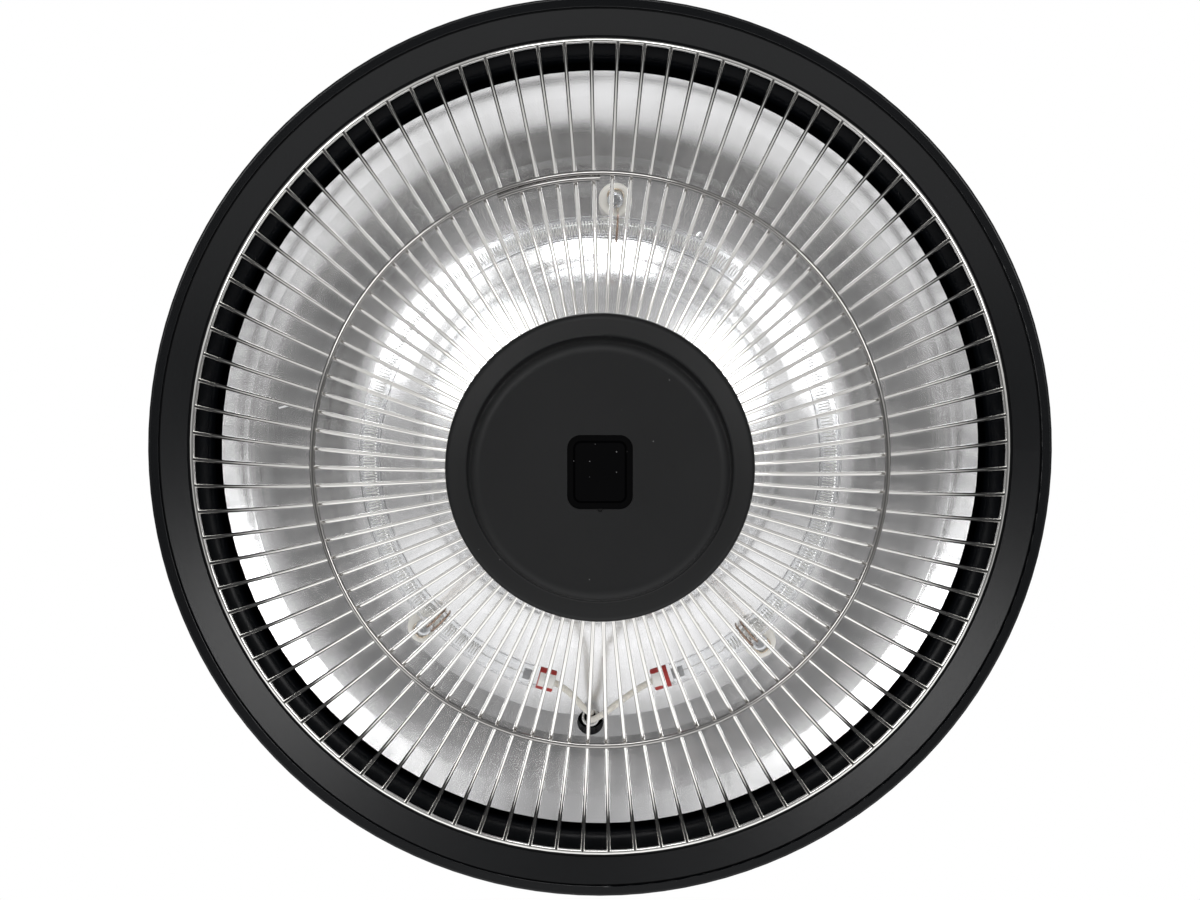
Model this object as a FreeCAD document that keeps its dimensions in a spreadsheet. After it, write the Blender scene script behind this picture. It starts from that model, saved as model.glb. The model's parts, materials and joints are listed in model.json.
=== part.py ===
import FreeCAD, Part
import math
import operator
import os
import Sketcher

# Hanging infrared heater with a ring lamp under a black shade.
# Heights in the sheet count from the rim plane, the face of the rim ring that looks down; +Z is up.
# The finished pieces are lowered so that the origin lies in the middle of the hanging eye.

SIZES = {
    # Hanging link, clevis and pin
    "eye_bore": 10, "eye_width": 6, "link_thickness": 8, "link_boss": 9, "link_length": 30,
    "pin_radius": 4, "pin_play": 0.05, "pin_head": 6, "pin_head_thickness": 3,
    "cheek_thickness": 5, "cheek_play": 0.4, "cheek_radius": 10, "fork_floor": 6, "pivot_height": 22,
    "stud_radius": 5, "stud_nut_flat": 8, "stud_nut_height": 8, "stud_reach": 4,
    "clip_radius": 6.5, "clip_thickness": 1.2, "clip_groove": 0.8, "clip_opening_angle": 70,
    # Bracket under the roof of the control housing
    "bracket_span": 49, "bracket_foot": 24, "bracket_width": 28, "bracket_sheet": 3,
    "bracket_bolt_reach": 61, "bracket_bolt_spacing": 14,
    # Control housing
    "housing_radius": 80, "housing_height": 48, "housing_wall": 2.5, "housing_round": 12,
    "vent_width": 4, "vent_height": 16, "vent_rise": 18,
    "boss_radius": 4.5, "boss_thread": 12, "boss_circle": 73.5,
    # Cable gland
    "gland_place": 36, "gland_flat": 11, "gland_hex_height": 6, "gland_thread": 8, "gland_thread_up": 8,
    "gland_thread_down": 14, "gland_bore": 5, "gland_nut_height": 5, "gland_cap_radius": 10.5,
    "gland_cap_height": 18, "gland_mouth": 4.6, "cable_radius": 4, "seal_height": 6, "seal_wall": 3,
    # Control board
    "board_length": 80, "board_width": 40, "board_sheet": 1.6, "board_place": 42, "board_rise": 10,
    "spacer_radius": 3.5, "spacer_inset": 5,
    "relay_length": 20, "relay_width": 16, "relay_height": 16, "relay_place": 22,
    "coil_block_length": 24, "coil_block_width": 22, "coil_block_height": 18, "coil_block_place": 20,
    "clamp_length": 16, "clamp_width": 10, "clamp_height": 12,
    # Shade and its rim ring
    "shade_radius": 212.5, "shade_wall": 1.2, "shade_height": 84, "shoulder_height": 40, "crown_radius": 88,
    "shoulder_round": 36, "crown_round": 20, "hem_width": 5, "hem_thickness": 2, "hem_round": 1.2,
    "rim_gap": 0.8, "rim_sheet": 1.2, "rim_width": 18, "rim_drop": 4.4, "ledge_recess": 1, "ledge_width": 4.2,
    "roll_radius": 11, "roll_angle": 50, "flange_height": 14, "flange_play": 0.4,
    # Reflector
    "dish_gap": 12.3, "dish_start": 138, "dish_slope": 19, "dish_lip": 12, "reflector_sheet": 0.8,
    "hump_curve": 265, "hump_drop": 23.7, "hump_round": 92.5,
    "lead_hole": 6.25, "lead_hole_offset": 24.5, "lead_hole_angle": 92,
    # Heat shield, its posts and the spacers to the reflector
    "shield_margin": 19, "shield_sheet": 1, "shield_gap": 19, "shield_lip": 8,
    "post_circle": 64, "post_flat": 5, "spacer_tube": 4.5,
    "cutout_radius": 8.5, "cutout_height": 10, "cutout_circle": 92, "cutout_angle": 200,
    "terminal_length": 20, "terminal_width": 28, "terminal_height": 18, "terminal_gap": 12,
    "grommet_place": 36, "grommet_hole": 6, "grommet_flange": 8.5, "grommet_lip": 2,
    "supply_radius": 3,
    # Insulators, lamp clips and screws
    "insulator_radius": 7.75, "insulator_height": 11.3, "insulator_offset": 11.5, "insulator_round": 1.2,
    "insulator_foot": 4, "insulator_play": 0.05,
    "insulator_right_angle": 50.3, "insulator_left_angle": 134.8, "insulator_top_angle": 273.5,
    "clip_wire": 0.5, "clip_eye": 5, "clip_spacing": 2.8, "clip_bend": 0.9, "clip_hook": 4, "clip_play": 0.1,
    "screw_radius": 2, "screw_play": 0.15, "screw_head": 3.8, "screw_head_height": 2.6, "screw_head_round": 1.6,
    "nut_flat": 3.5, "nut_height": 3.2,
    # Lamp
    "lamp_radius": 106.5, "lamp_drop": 36, "tube_radius": 5.5, "tube_wall": 1,
    "lamp_angle": 89.1, "lamp_gap_angle": 16.6, "nub_angle": 294, "nub_radius": 1.5, "nub_length": 2.8,
    "plug_angle": 0.9, "foil_width": 5, "foil_length": 5.4, "foil_sheet": 0.4,
    "coil_radius": 2.6, "coil_wire": 0.35, "coil_gap_angle": 32.4, "coil_turns": 64, "coil_lead": 15,
    "end_radius": 5.2, "end_length": 8, "end_play": 0.1, "end_floor": 3, "end_round": 0.8,
    "lead_radius": 1.5, "lead_spacing": 1.9, "lead_play": 0.2,
    "sleeve_radius": 4.9, "sleeve_wall": 0.8, "sleeve_low": 9.3, "sleeve_high": 3, "sleeve_shift": 1.2,
    "lead_sag": 14, "supply_sag": 26.7,
    # Guard
    "guard_inset": 2.5, "guard_ring_wire": 1.5, "guard_seat_gap": 0.1, "guard_depth": 87.2, "spoke_wire": 0.95,
    "guard_angle": 2.5, "hub_radius": 60, "hub_wire": 1.5, "middle_radius": 132, "middle_wire": 1.3,
    "weld_sink": 0.03, "lap_start_angle": 249, "lap_angle": 21,
    # Cap, centre tube and receiver
    "cap_radius": 70, "cap_depth": 22, "cap_band": 6, "cap_slope": 2.5, "cap_foot": 60, "cap_disc": 58,
    "cap_wall": 2.2, "cap_seat_gap": 0.3, "cap_round": 5, "cap_edge_round": 3, "cap_foot_round": 1.5,
    "base_sheet": 2, "cap_boss": 4, "cap_boss_circle": 44, "cap_screw": 1.5, "cap_screw_length": 10,
    "tube_outer": 8, "tube_bore": 6.5, "tube_play": 0.3, "tube_nut_flat": 12, "tube_nut_height": 4,
    "window_width": 29, "window_height": 33, "window_corner": 6, "window_play": 0.2, "window_recess": 0.6,
    "window_pad": 2.5, "window_bevel": 1.2, "window_notch": 1.3, "window_flange": 2, "window_sheet": 1.5,
    "receiver_length": 56, "receiver_width": 28, "receiver_gap": 8, "peg_radius": 3, "peg_place": 23,
    "sensor_width": 7, "sensor_height": 5, "receiver_lead": 2,
}
SPOKE_COUNT = 96
VENT_COUNT = 24
FEET = 3

doc = FreeCAD.newDocument("patio_heater")
sheet = doc.addObject("Spreadsheet::Sheet", "Sizes")
filled_rows = []


def fill_row(alias, content):
    filled_rows.append(alias)
    row = len(filled_rows)
    sheet.set(f"A{row}", alias)
    sheet.set(f"B{row}", content)
    sheet.setAlias(f"B{row}", alias)


for alias, number in SIZES.items():
    fill_row(alias, str(number))
doc.recompute()

OPERATIONS = {"+": operator.add, "-": operator.sub, "*": operator.mul, "/": operator.truediv}


class Size:
    """A number together with the sheet formula that gives it."""

    def __init__(self, value, formula):
        self.value = float(value)
        self.formula = formula

    def __add__(self, other):
        return joined(self, "+", other)

    def __radd__(self, other):
        return joined(other, "+", self)

    def __sub__(self, other):
        return joined(self, "-", other)

    def __rsub__(self, other):
        return joined(other, "-", self)

    def __mul__(self, other):
        return joined(self, "*", other)

    def __rmul__(self, other):
        return joined(other, "*", self)

    def __truediv__(self, other):
        return joined(self, "/", other)

    def __neg__(self):
        return joined(0, "-", self)


def as_size(number):
    return number if isinstance(number, Size) else Size(number, repr(float(number)))


def joined(left, sign, right):
    left = as_size(left)
    right = as_size(right)
    value = OPERATIONS[sign](left.value, right.value)
    return Size(value, f"({left.formula} {sign} {right.formula})")


def root(size):
    return Size(math.sqrt(size.value), f"sqrt({size.formula})")


def sine(angle):
    return Size(math.sin(math.radians(angle.value)), f"sin({angle.formula})")


def cosine(angle):
    return Size(math.cos(math.radians(angle.value)), f"cos({angle.formula})")


def magnitude(size):
    return Size(abs(size.value), f"abs({size.formula})")


def arc_sine(ratio):
    return Size(math.degrees(math.asin(ratio.value)), f"(asin({ratio.formula}) / 1 deg)")


def size(alias):
    return Size(sheet.get(alias), f"Sizes.{alias}")


def named(alias, length):
    """Gives a worked-out size its own row of the sheet, so that later formulas stay short."""
    fill_row(alias, "=" + length.formula.replace("Sizes.", ""))
    return Size(length.value, f"Sizes.{alias}")


def bind(thing, path, length):
    thing.setExpression(path, length.formula)


# Heights that several pieces share
shade_top = size("shade_height")
roof = named("roof_height", shade_top + size("housing_height"))
pivot = named("pivot_level", roof + size("pivot_height"))
eye = named("eye_level", pivot + size("link_length"))
rim_step = named("rim_step", size("shade_radius") - size("rim_width"))
ledge_edge = named("ledge_edge", rim_step - size("ledge_width"))
dish_edge = named("dish_edge", ledge_edge - size("dish_gap"))
dish_bend = named("dish_bend", dish_edge - size("dish_lip"))
dish_curve = named("dish_curve", (dish_bend - size("dish_start")) / sine(size("dish_slope")))
lip_rise = named("lip_rise", size("dish_lip") * sine(size("dish_slope")) / cosine(size("dish_slope")))
flat_ring = named("flat_ring", lip_rise + dish_curve - dish_curve * cosine(size("dish_slope")))
flat_back = named("flat_back", flat_ring + size("reflector_sheet"))
shield_low = named("shield_low", flat_back + size("shield_gap"))
shield_high = named("shield_high", shield_low + size("shield_sheet"))
shade_ceiling = named("shade_ceiling", shade_top - size("shade_wall"))
roof_inside = named("roof_inside", roof - size("housing_wall"))
lamp_height = named("lamp_height", -size("lamp_drop"))
insulator_face = named("insulator_face", flat_ring - size("insulator_height"))
guard_radius = named("guard_radius", rim_step - size("guard_inset"))
insulator_circle = named("insulator_circle", size("lamp_radius") + size("insulator_offset"))
lead_hole_circle = named("lead_hole_circle", size("lamp_radius") + size("lead_hole_offset"))
shield_edge = named("shield_edge", lead_hole_circle + size("shield_margin"))
terminal_face = named("terminal_face", lead_hole_circle - size("terminal_gap"))
guard_height = named("guard_height", size("ledge_recess") - size("guard_ring_wire") - size("guard_seat_gap"))


def square(length):
    return length * length


guard_depth = size("guard_depth")
dome_radius = named("dome_radius", (square(guard_radius) + square(guard_depth)) / (2 * guard_depth))
dome_centre = named("dome_centre", guard_height + dome_radius - guard_depth)


def dome_height(radius, offset=0):
    """Height of the guard's dome at a radius, offset mm further out than the spokes' middle line."""
    reach = dome_radius + offset
    return dome_centre - root(reach * reach - radius * radius)


hump_reach = size("hump_curve") + size("hump_round")
hump_foot = named("hump_foot", root(2 * size("hump_drop") * hump_reach - square(size("hump_drop"))))


def foot_height(radius):
    """Height of the reflector's front face on the round foot of its hump."""
    fillet = size("hump_round")
    return flat_ring - fillet + root(square(fillet) - square(hump_foot - radius))


hub_height = named("hub_height", dome_height(size("hub_radius")))
base_low = named("base_low", hub_height + size("hub_wire"))
base_high = named("base_high", base_low + size("base_sheet"))
cap_inner_edge = size("cap_radius") - size("cap_wall")
cap_rear = named("cap_rear", dome_height(cap_inner_edge, size("spoke_wire")) - size("cap_seat_gap"))
cap_face = named("cap_face", cap_rear - size("cap_depth"))
cap_inside = named("cap_inside", cap_face + size("cap_wall"))
doc.recompute()
insulator_turns = [size("insulator_right_angle"), size("insulator_left_angle"), size("insulator_top_angle")]


def polar(radius, turn):
    return radius * cosine(turn), radius * sine(turn)


insulator_spots = [polar(insulator_circle, turn) for turn in insulator_turns]
lead_hole_spot = polar(lead_hole_circle, size("lead_hole_angle"))


def around(radius, count, first):
    """Spots evenly spaced on a circle, the first at the given angle in degrees."""
    return [polar(radius, as_size(first + 360 * step / count)) for step in range(count)]


post_spots = around(size("post_circle"), FEET, 30)
boss_spots = around(size("boss_circle"), FEET, 90 + 180 / VENT_COUNT)
cap_boss_spots = around(size("cap_boss_circle"), FEET, 30)
bolt_spots = [(side * size("bracket_bolt_reach"), way * size("bracket_bolt_spacing") / 2)
              for side in (1, -1) for way in (1, -1)]
pieces = []


def keep(piece, label):
    piece.Label = label
    pieces.append(piece)
    return piece


def lower(piece, turn=None, spot=None):
    """Brings a piece from the rim plane to the part's own frame, turned about Z or moved to a spot."""
    bind(piece, "Placement.Base.z", -eye)
    if turn is not None:
        bind(piece, "Placement.Rotation.Angle", as_size(turn))
    if spot is not None:
        bind(piece, "Placement.Base.x", spot[0])
        bind(piece, "Placement.Base.y", spot[1])


def new_body(label, turn=None, spot=None):
    body = doc.addObject("PartDesign::Body", label)
    body.AllowCompound = True
    lower(body, turn, spot)
    return keep(body, label)


def sketch_on(body, role, height=None, turn=None):
    """A sketch on an origin plane, moved along its normal or turned about Z when it stands on XZ."""
    sketch = body.newObject("Sketcher::SketchObject", f"{body.Name}_sketch")
    plane = next(item for item in body.Origin.OriginFeatures if item.Role == role)
    sketch.AttachmentSupport = [(plane, "")]
    sketch.MapMode = "FlatFace"
    if height is not None:
        bind(sketch, "AttachmentOffset.Base.z", height)
    if turn is not None:
        spin = FreeCAD.Rotation(FreeCAD.Vector(0, 1, 0), turn.value)
        sketch.AttachmentOffset = FreeCAD.Placement(FreeCAD.Vector(), spin)
        bind(sketch, "AttachmentOffset.Rotation.Angle", turn)
    return sketch


def fix_point(sketch, edge, end, x, y):
    for kind, place in (("DistanceX", x), ("DistanceY", y)):
        index = sketch.addConstraint(Sketcher.Constraint(kind, -1, 1, edge, end, place.value))
        bind(sketch, f"Constraints[{index}]", place)


def fix_radius(sketch, edge, radius):
    index = sketch.addConstraint(Sketcher.Constraint("Radius", edge, radius.value))
    bind(sketch, f"Constraints[{index}]", radius)


def flat(x, y):
    return FreeCAD.Vector(as_size(x).value, as_size(y).value, 0)


def arc_between(start, end, radius, side):
    """Short arc whose middle lies left (side 1) or right (side -1) of the way from start to end."""
    chord = end - start
    rise = math.sqrt(radius * radius - chord.Length * chord.Length / 4)
    left = FreeCAD.Vector(-chord.y, chord.x, 0) / chord.Length
    centre = (start + end) / 2 + left * (side * rise)
    ends = (start, end) if side > 0 else (end, start)
    first, last = (math.atan2(point.y - centre.y, point.x - centre.x) for point in ends)
    return Part.ArcOfCircle(Part.Circle(centre, FreeCAD.Vector(0, 0, 1), radius), first, last)


def draw_outline(sketch, corners):
    """Closed outline: a corner is (x, y), or (x, y, radius, side) where an arc leads to it."""
    corners = [tuple(as_size(number) for number in corner[:3]) + corner[3:] for corner in corners]
    edges = []
    for start, end in zip(corners, corners[1:] + corners[:1]):
        if len(end) == 4:
            arc = arc_between(flat(*start[:2]), flat(*end[:2]), end[2].value, end[3])
            edge = sketch.addGeometry(arc, False)
            fix_radius(sketch, edge, end[2])
            ends = (1, 2) if end[3] > 0 else (2, 1)
        else:
            edge = sketch.addGeometry(Part.LineSegment(flat(*start[:2]), flat(*end[:2])), False)
            ends = (1, 2)
        edges.append((edge, ends))
    for (edge, ends), (following, next_ends) in zip(edges, edges[1:] + edges[:1]):
        sketch.addConstraint(Sketcher.Constraint("Coincident", edge, ends[1], following, next_ends[0]))
    for (edge, ends), corner in zip(edges, corners):
        fix_point(sketch, edge, ends[0], corner[0], corner[1])


def draw_circle(sketch, x, y, radius):
    x, y, radius = as_size(x), as_size(y), as_size(radius)
    circle = Part.Circle(flat(x, y), FreeCAD.Vector(0, 0, 1), radius.value)
    edge = sketch.addGeometry(circle, False)
    fix_point(sketch, edge, 3, x, y)
    fix_radius(sketch, edge, radius)


def draw_axis(sketch, start, end):
    """Construction line for a revolution; the outline is drawn after it."""
    start = [as_size(number) for number in start]
    end = [as_size(number) for number in end]
    edge = sketch.addGeometry(Part.LineSegment(flat(*start), flat(*end)), True)
    fix_point(sketch, edge, 1, *start)
    fix_point(sketch, edge, 2, *end)


def draw_rectangle(sketch, low_x, low_y, high_x, high_y):
    draw_outline(sketch, [(low_x, low_y), (high_x, low_y), (high_x, high_y), (low_x, high_y)])


def draw_hexagon(sketch, x, y, flat_radius):
    reach = flat_radius / math.cos(math.radians(30))
    turns = [math.radians(60 * step) for step in range(6)]
    draw_outline(sketch, [(x + reach * math.cos(turn), y + reach * math.sin(turn)) for turn in turns])


def draw_rounded(sketch, width, height, corner):
    """Rectangle about the sketch's origin with round corners."""
    x, y = width / 2, height / 2
    draw_outline(sketch, [
        (x - corner, -y), (x, corner - y, corner, 1), (x, y - corner), (x - corner, y, corner, 1),
        (corner - x, y), (-x, y - corner, corner, 1), (-x, corner - y), (corner - x, -y, corner, 1)])


def revolve(body, sketch, angle=360, axis="V_Axis"):
    feature = body.newObject("PartDesign::Revolution", f"{body.Name}_turn")
    feature.Profile = sketch
    feature.ReferenceAxis = (sketch, [axis])
    bind(feature, "Angle", as_size(angle))
    return feature


def pad(body, sketch, length, symmetric=False):
    feature = body.newObject("PartDesign::Pad", f"{body.Name}_pad")
    feature.Profile = sketch
    feature.SideType = "Symmetric" if symmetric else "One side"
    bind(feature, "Length", as_size(length))
    return feature


def must_shrink(body, feature, before):
    doc.recompute()
    if feature.Shape.Volume >= before:
        raise RuntimeError(f"{body.Label}: {feature.Name} removes nothing")
    return feature


def pocket(body, sketch, length=None, reverse=False):
    """Cuts a sketch both ways through everything, or to a depth against its normal."""
    doc.recompute()
    before = body.Shape.Volume
    feature = body.newObject("PartDesign::Pocket", f"{body.Name}_cut")
    feature.Profile = sketch
    if length is None:
        feature.SideType = "Symmetric"
        feature.Type = "ThroughAll"
    else:
        feature.Reversed = reverse
        bind(feature, "Length", as_size(length))
    return must_shrink(body, feature, before)


def drill(body, spots, radius):
    """Upright holes through the whole piece."""
    sketch = sketch_on(body, "XY_Plane")
    for x, y in spots:
        draw_circle(sketch, x, y, radius)
    return pocket(body, sketch)


def repeat(body, feature, count):
    doc.recompute()
    pattern = body.newObject("PartDesign::PolarPattern", f"{body.Name}_pattern")
    pattern.Originals = [feature]
    axis = next(item for item in body.Origin.OriginFeatures if item.Role == "Z_Axis")
    pattern.Axis = (axis, [""])
    pattern.Angle = 360
    pattern.Occurrences = count
    body.Tip = pattern
    return pattern


def rings_at(shape, radius, height):
    """Names of the circular edges of a turned shape with this radius at this height."""
    names = []
    for number, edge in enumerate(shape.Edges, start=1):
        box = edge.BoundBox
        level = box.ZLength < 1e-6 and abs(box.ZMin - height.value) < 1e-4
        if level and hasattr(edge.Curve, "Radius") and abs(edge.Curve.Radius - radius.value) < 1e-4:
            names.append(f"Edge{number}")
    return names


def round_ring(body, radius, height, fillet):
    doc.recompute()
    base = body.Tip
    feature = body.newObject("PartDesign::Fillet", f"{body.Name}_round")
    feature.Base = (base, rings_at(base.Shape, as_size(radius), as_size(height)))
    bind(feature, "Radius", fillet)
    return feature


def formed_sheet(points, radii, wall):
    """Outline of a sheet of even thickness: the outer side with round corners, then the inner side back.

    The inner side lies left of the way along the points.
    """
    points = [(as_size(x), as_size(y)) for x, y in points]
    ways = []
    for (x0, y0), (x1, y1) in zip(points, points[1:]):
        length = root(square(x1 - x0) + square(y1 - y0))
        ways.append(((x1 - x0) / length, (y1 - y0) / length))

    def inner(x, y, way):
        return x - way[1] * wall, y + way[0] * wall

    outer_side = [points[0]]
    inner_side = [inner(*points[0], ways[0])]
    for (x, y), radius, before, after in zip(points[1:-1], radii, ways, ways[1:]):
        cross = before[0] * after[1] - before[1] * after[0]
        side = 1 if cross.value > 0 else -1
        reach = radius * magnitude(cross) / (1 + before[0] * after[0] + before[1] * after[1])
        first = x - before[0] * reach, y - before[1] * reach
        last = x + after[0] * reach, y + after[1] * reach
        outer_side += [first, (*last, radius, side)]
        inner_side += [(*inner(*first, before), radius - side * wall, -side), inner(*last, after)]
    outer_side.append(points[-1])
    inner_side.append(inner(*points[-1], ways[-1]))
    return outer_side + inner_side[::-1]


def turned(label, corners, turn=None, spot=None):
    """A piece turned about its own Z axis from a half outline of radii and heights."""
    body = new_body(label, turn, spot)
    sketch = sketch_on(body, "XZ_Plane")
    draw_outline(sketch, corners)
    revolve(body, sketch)
    return body


def stacked(body, spots, layers, hexagon=False):
    """Discs or hexagons piled on each spot; a layer is (radius, low, high) or has a bore radius as well."""
    for radius, low, high, *bore in layers:
        sketch = sketch_on(body, "XY_Plane", low)
        for x, y in spots:
            if hexagon:
                draw_hexagon(sketch, x, y, radius)
            else:
                draw_circle(sketch, x, y, radius)
            for inner in bore:
                draw_circle(sketch, x, y, inner)
        pad(body, sketch, high - low)
    return body


def block(label, low, high, turn=None):
    """A box between two corners given as radial, tangential and upright lengths."""
    body = new_body(label, turn)
    sketch = sketch_on(body, "XY_Plane", as_size(low[2]))
    draw_rectangle(sketch, low[0], low[1], high[0], high[1])
    pad(body, sketch, as_size(high[2]) - low[2])
    return body


def made_shape(label, shape, turn=None):
    feature = doc.addObject("Part::Feature", label)
    feature.Shape = shape
    spin = FreeCAD.Rotation(FreeCAD.Vector(0, 0, 1), 0 if turn is None else turn.value)
    feature.Placement = FreeCAD.Placement(FreeCAD.Vector(0, 0, -eye.value), spin)
    return keep(feature, label)


def round_path(points):
    """Straight runs joined by tangent arcs, each as large as its runs allow."""
    edges = []
    start = points[0]
    for index in range(1, len(points) - 1):
        before, corner, after = points[index - 1], points[index], points[index + 1]
        inward = (corner - before).normalize()
        outward = (after - corner).normalize()
        half_turn = inward.getAngle(outward) / 2
        shorter = min((corner - before).Length, (after - corner).Length)
        radius = 0.45 * shorter / math.tan(half_turn)
        reach = radius * math.tan(half_turn)
        first, last = corner - inward * reach, corner + outward * reach
        bend = (outward - inward).normalize()
        middle = corner + bend * (radius / math.cos(half_turn) - radius)
        edges.append(Part.LineSegment(start, first).toShape())
        edges.append(Part.Arc(first, middle, last).toShape())
        start = last
    edges.append(Part.LineSegment(start, points[-1]).toShape())
    return edges


def swept(edges, radius):
    """Round wire along a path, compared with its section times its length."""
    path = Part.Wire(edges)
    first = edges[0]
    begin = first.valueAt(first.FirstParameter)
    heading = first.tangentAt(first.FirstParameter)
    pipe = Part.BRepOffsetAPI.MakePipeShell(path)
    pipe.add(Part.Wire(Part.Circle(begin, heading, radius).toShape()))
    pipe.build()
    pipe.makeSolid()
    shape = pipe.shape()
    expected = path.Length * math.pi * radius * radius
    if abs(shape.Volume / expected - 1) > 0.01:
        raise RuntimeError("a swept wire has the wrong volume")
    return shape


# Hanging link: a flat eye that swings on the clevis pin

def make_hanging_link():
    body = new_body("hanging_link")
    boss, outer = size("link_boss"), size("eye_bore") + size("eye_width")
    lean = (outer - boss) / size("link_length")
    across = root(1 - lean * lean)
    sketch = sketch_on(body, "YZ_Plane")
    draw_outline(sketch, [
        (boss * across, pivot - boss * lean, boss, 1), (outer * across, eye - outer * lean),
        (0, eye + outer, outer, 1), (-outer * across, eye - outer * lean, outer, 1),
        (-boss * across, pivot - boss * lean), (0, pivot - boss, boss, 1)])
    pad(body, sketch, size("link_thickness"), symmetric=True)
    holes = sketch_on(body, "YZ_Plane")
    draw_circle(holes, 0, eye, size("eye_bore"))
    draw_circle(holes, 0, pivot, size("pin_radius") + size("pin_play"))
    pocket(body, holes)


fork_gap = size("link_thickness") + 2 * size("cheek_play")
fork_half = fork_gap / 2 + size("cheek_thickness")


def make_clevis():
    body = new_body("hanging_clevis")
    side = size("cheek_radius")
    cheeks = sketch_on(body, "YZ_Plane")
    draw_outline(cheeks, [
        (side, roof), (side, pivot), (0, pivot + side, side, 1), (-side, pivot, side, 1), (-side, roof)])
    pad(body, cheeks, 2 * fork_half, symmetric=True)
    slot = sketch_on(body, "XZ_Plane")
    draw_rectangle(slot, -fork_gap / 2, roof + size("fork_floor"), fork_gap / 2, pivot + 2 * side)
    pocket(body, slot)
    hole = sketch_on(body, "YZ_Plane")
    draw_circle(hole, 0, pivot, size("pin_radius") + size("pin_play"))
    pocket(body, hole)
    stud_foot = roof_inside - size("bracket_sheet") - size("stud_nut_height") - size("stud_reach")
    stacked(body, [(as_size(0), as_size(0))], [(size("stud_radius"), stud_foot, roof)])


def make_clevis_pin():
    body = new_body("clevis_pin")
    sketch = sketch_on(body, "XZ_Plane")
    shank, head = size("pin_radius"), size("pin_head")
    groove = shank - size("clip_groove")
    head_end = -fork_half - size("pin_head_thickness")
    clip_start, clip_end = fork_half, fork_half + size("clip_thickness")
    tip = clip_end + size("clip_groove") * 2
    draw_axis(sketch, (head_end, pivot), (tip, pivot))
    draw_outline(sketch, [
        (head_end, pivot), (tip, pivot), (tip, pivot + shank), (clip_end, pivot + shank),
        (clip_end, pivot + groove), (clip_start, pivot + groove), (clip_start, pivot + shank),
        (-fork_half, pivot + shank), (-fork_half, pivot + head), (head_end, pivot + head)])
    revolve(body, sketch, axis="Axis0")
    clip = new_body("pin_clip")
    ring = sketch_on(clip, "XZ_Plane")
    draw_axis(ring, (clip_start, pivot), (clip_end, pivot))
    draw_rectangle(ring, clip_start, pivot + groove, clip_end, pivot + size("clip_radius"))
    revolve(clip, ring, 360 - size("clip_opening_angle"), axis="Axis0")


def make_bracket():
    body = new_body("hanger_bracket")
    span, strip = size("bracket_span"), size("bracket_sheet")
    toe = span + size("bracket_foot")
    profile = sketch_on(body, "XZ_Plane")
    draw_outline(profile, [
        (-toe, shade_top), (strip - span, shade_top), (strip - span, roof_inside - strip),
        (span - strip, roof_inside - strip), (span - strip, shade_top), (toe, shade_top),
        (toe, shade_top + strip), (span, shade_top + strip), (span, roof_inside), (-span, roof_inside),
        (-span, shade_top + strip), (-toe, shade_top + strip)])
    pad(body, profile, size("bracket_width"), symmetric=True)
    drill(body, [(0, 0)], size("stud_radius") + size("screw_play"))
    drill(body, bolt_spots, size("screw_radius") + size("screw_play"))
    middle = [(as_size(0), as_size(0))]
    nut_top = roof_inside - strip
    nut = new_body("hanger_nut")
    stacked(nut, middle, [(size("stud_nut_flat"), nut_top - size("stud_nut_height"), nut_top,
                           size("stud_radius") + size("screw_play"))], hexagon=True)
    bolts = new_body("bracket_bolts")
    bolt_screws(bolts, bolt_spots, shade_top + strip, shade_ceiling, up=True)


def bolt_screws(body, spots, head_seat, nut_seat, up):
    """Screws with a head on one side and a nut on the other; up means that the heads lie on top."""
    way = 1 if up else -1
    head_top = head_seat + way * size("screw_head_height")
    nut_far = nut_seat - way * size("nut_height")
    tip = nut_far - way * size("screw_radius")
    low, high = (tip, head_seat) if up else (head_seat, tip)
    stacked(body, spots, [(size("screw_radius"), low, high)])
    stacked(body, spots, [(size("screw_head"), *sorted_pair(head_seat, head_top))])
    stacked(body, spots, [(size("nut_flat"), *sorted_pair(nut_far, nut_seat))], hexagon=True)
    round_ring(body, size("screw_head"), head_top, size("screw_head_round"))


def sorted_pair(first, second):
    return (first, second) if first.value < second.value else (second, first)


# Control housing and what it holds

def make_housing():
    radius = size("housing_radius")
    body = turned("control_housing", formed_sheet(
        [(radius, shade_top), (radius, roof), (0, roof)], [size("housing_round")], size("housing_wall")))
    stacked(body, boss_spots, [(size("boss_radius"), shade_top, roof - size("housing_round"))])
    drill(body, [(0, 0)], size("stud_radius") + size("screw_play"))
    place = size("gland_place")
    drill(body, [(place, place)], size("gland_thread") + size("screw_play"))
    blind = sketch_on(body, "XY_Plane", shade_top)
    for x, y in boss_spots:
        draw_circle(blind, x, y, size("screw_radius") + size("screw_play"))
    pocket(body, blind, size("boss_thread"), reverse=True)
    vent = sketch_on(body, "YZ_Plane")
    low = shade_top + size("vent_rise")
    half = size("vent_width") / 2
    high = low + size("vent_height")
    draw_outline(vent, [
        (half, low + half), (half, high - half), (0, high, half, 1), (-half, high - half, half, 1),
        (-half, low + half), (0, low, half, 1)])
    slot = pocket(body, vent, 2 * radius, reverse=True)
    repeat(body, slot, VENT_COUNT)
    screws = new_body("housing_screws")
    reach = size("boss_thread") * 0.7
    head_low = shade_ceiling - size("screw_head_height")
    stacked(screws, boss_spots, [(size("screw_head"), head_low, shade_ceiling),
                                 (size("screw_radius"), shade_ceiling, shade_top + reach)])


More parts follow.
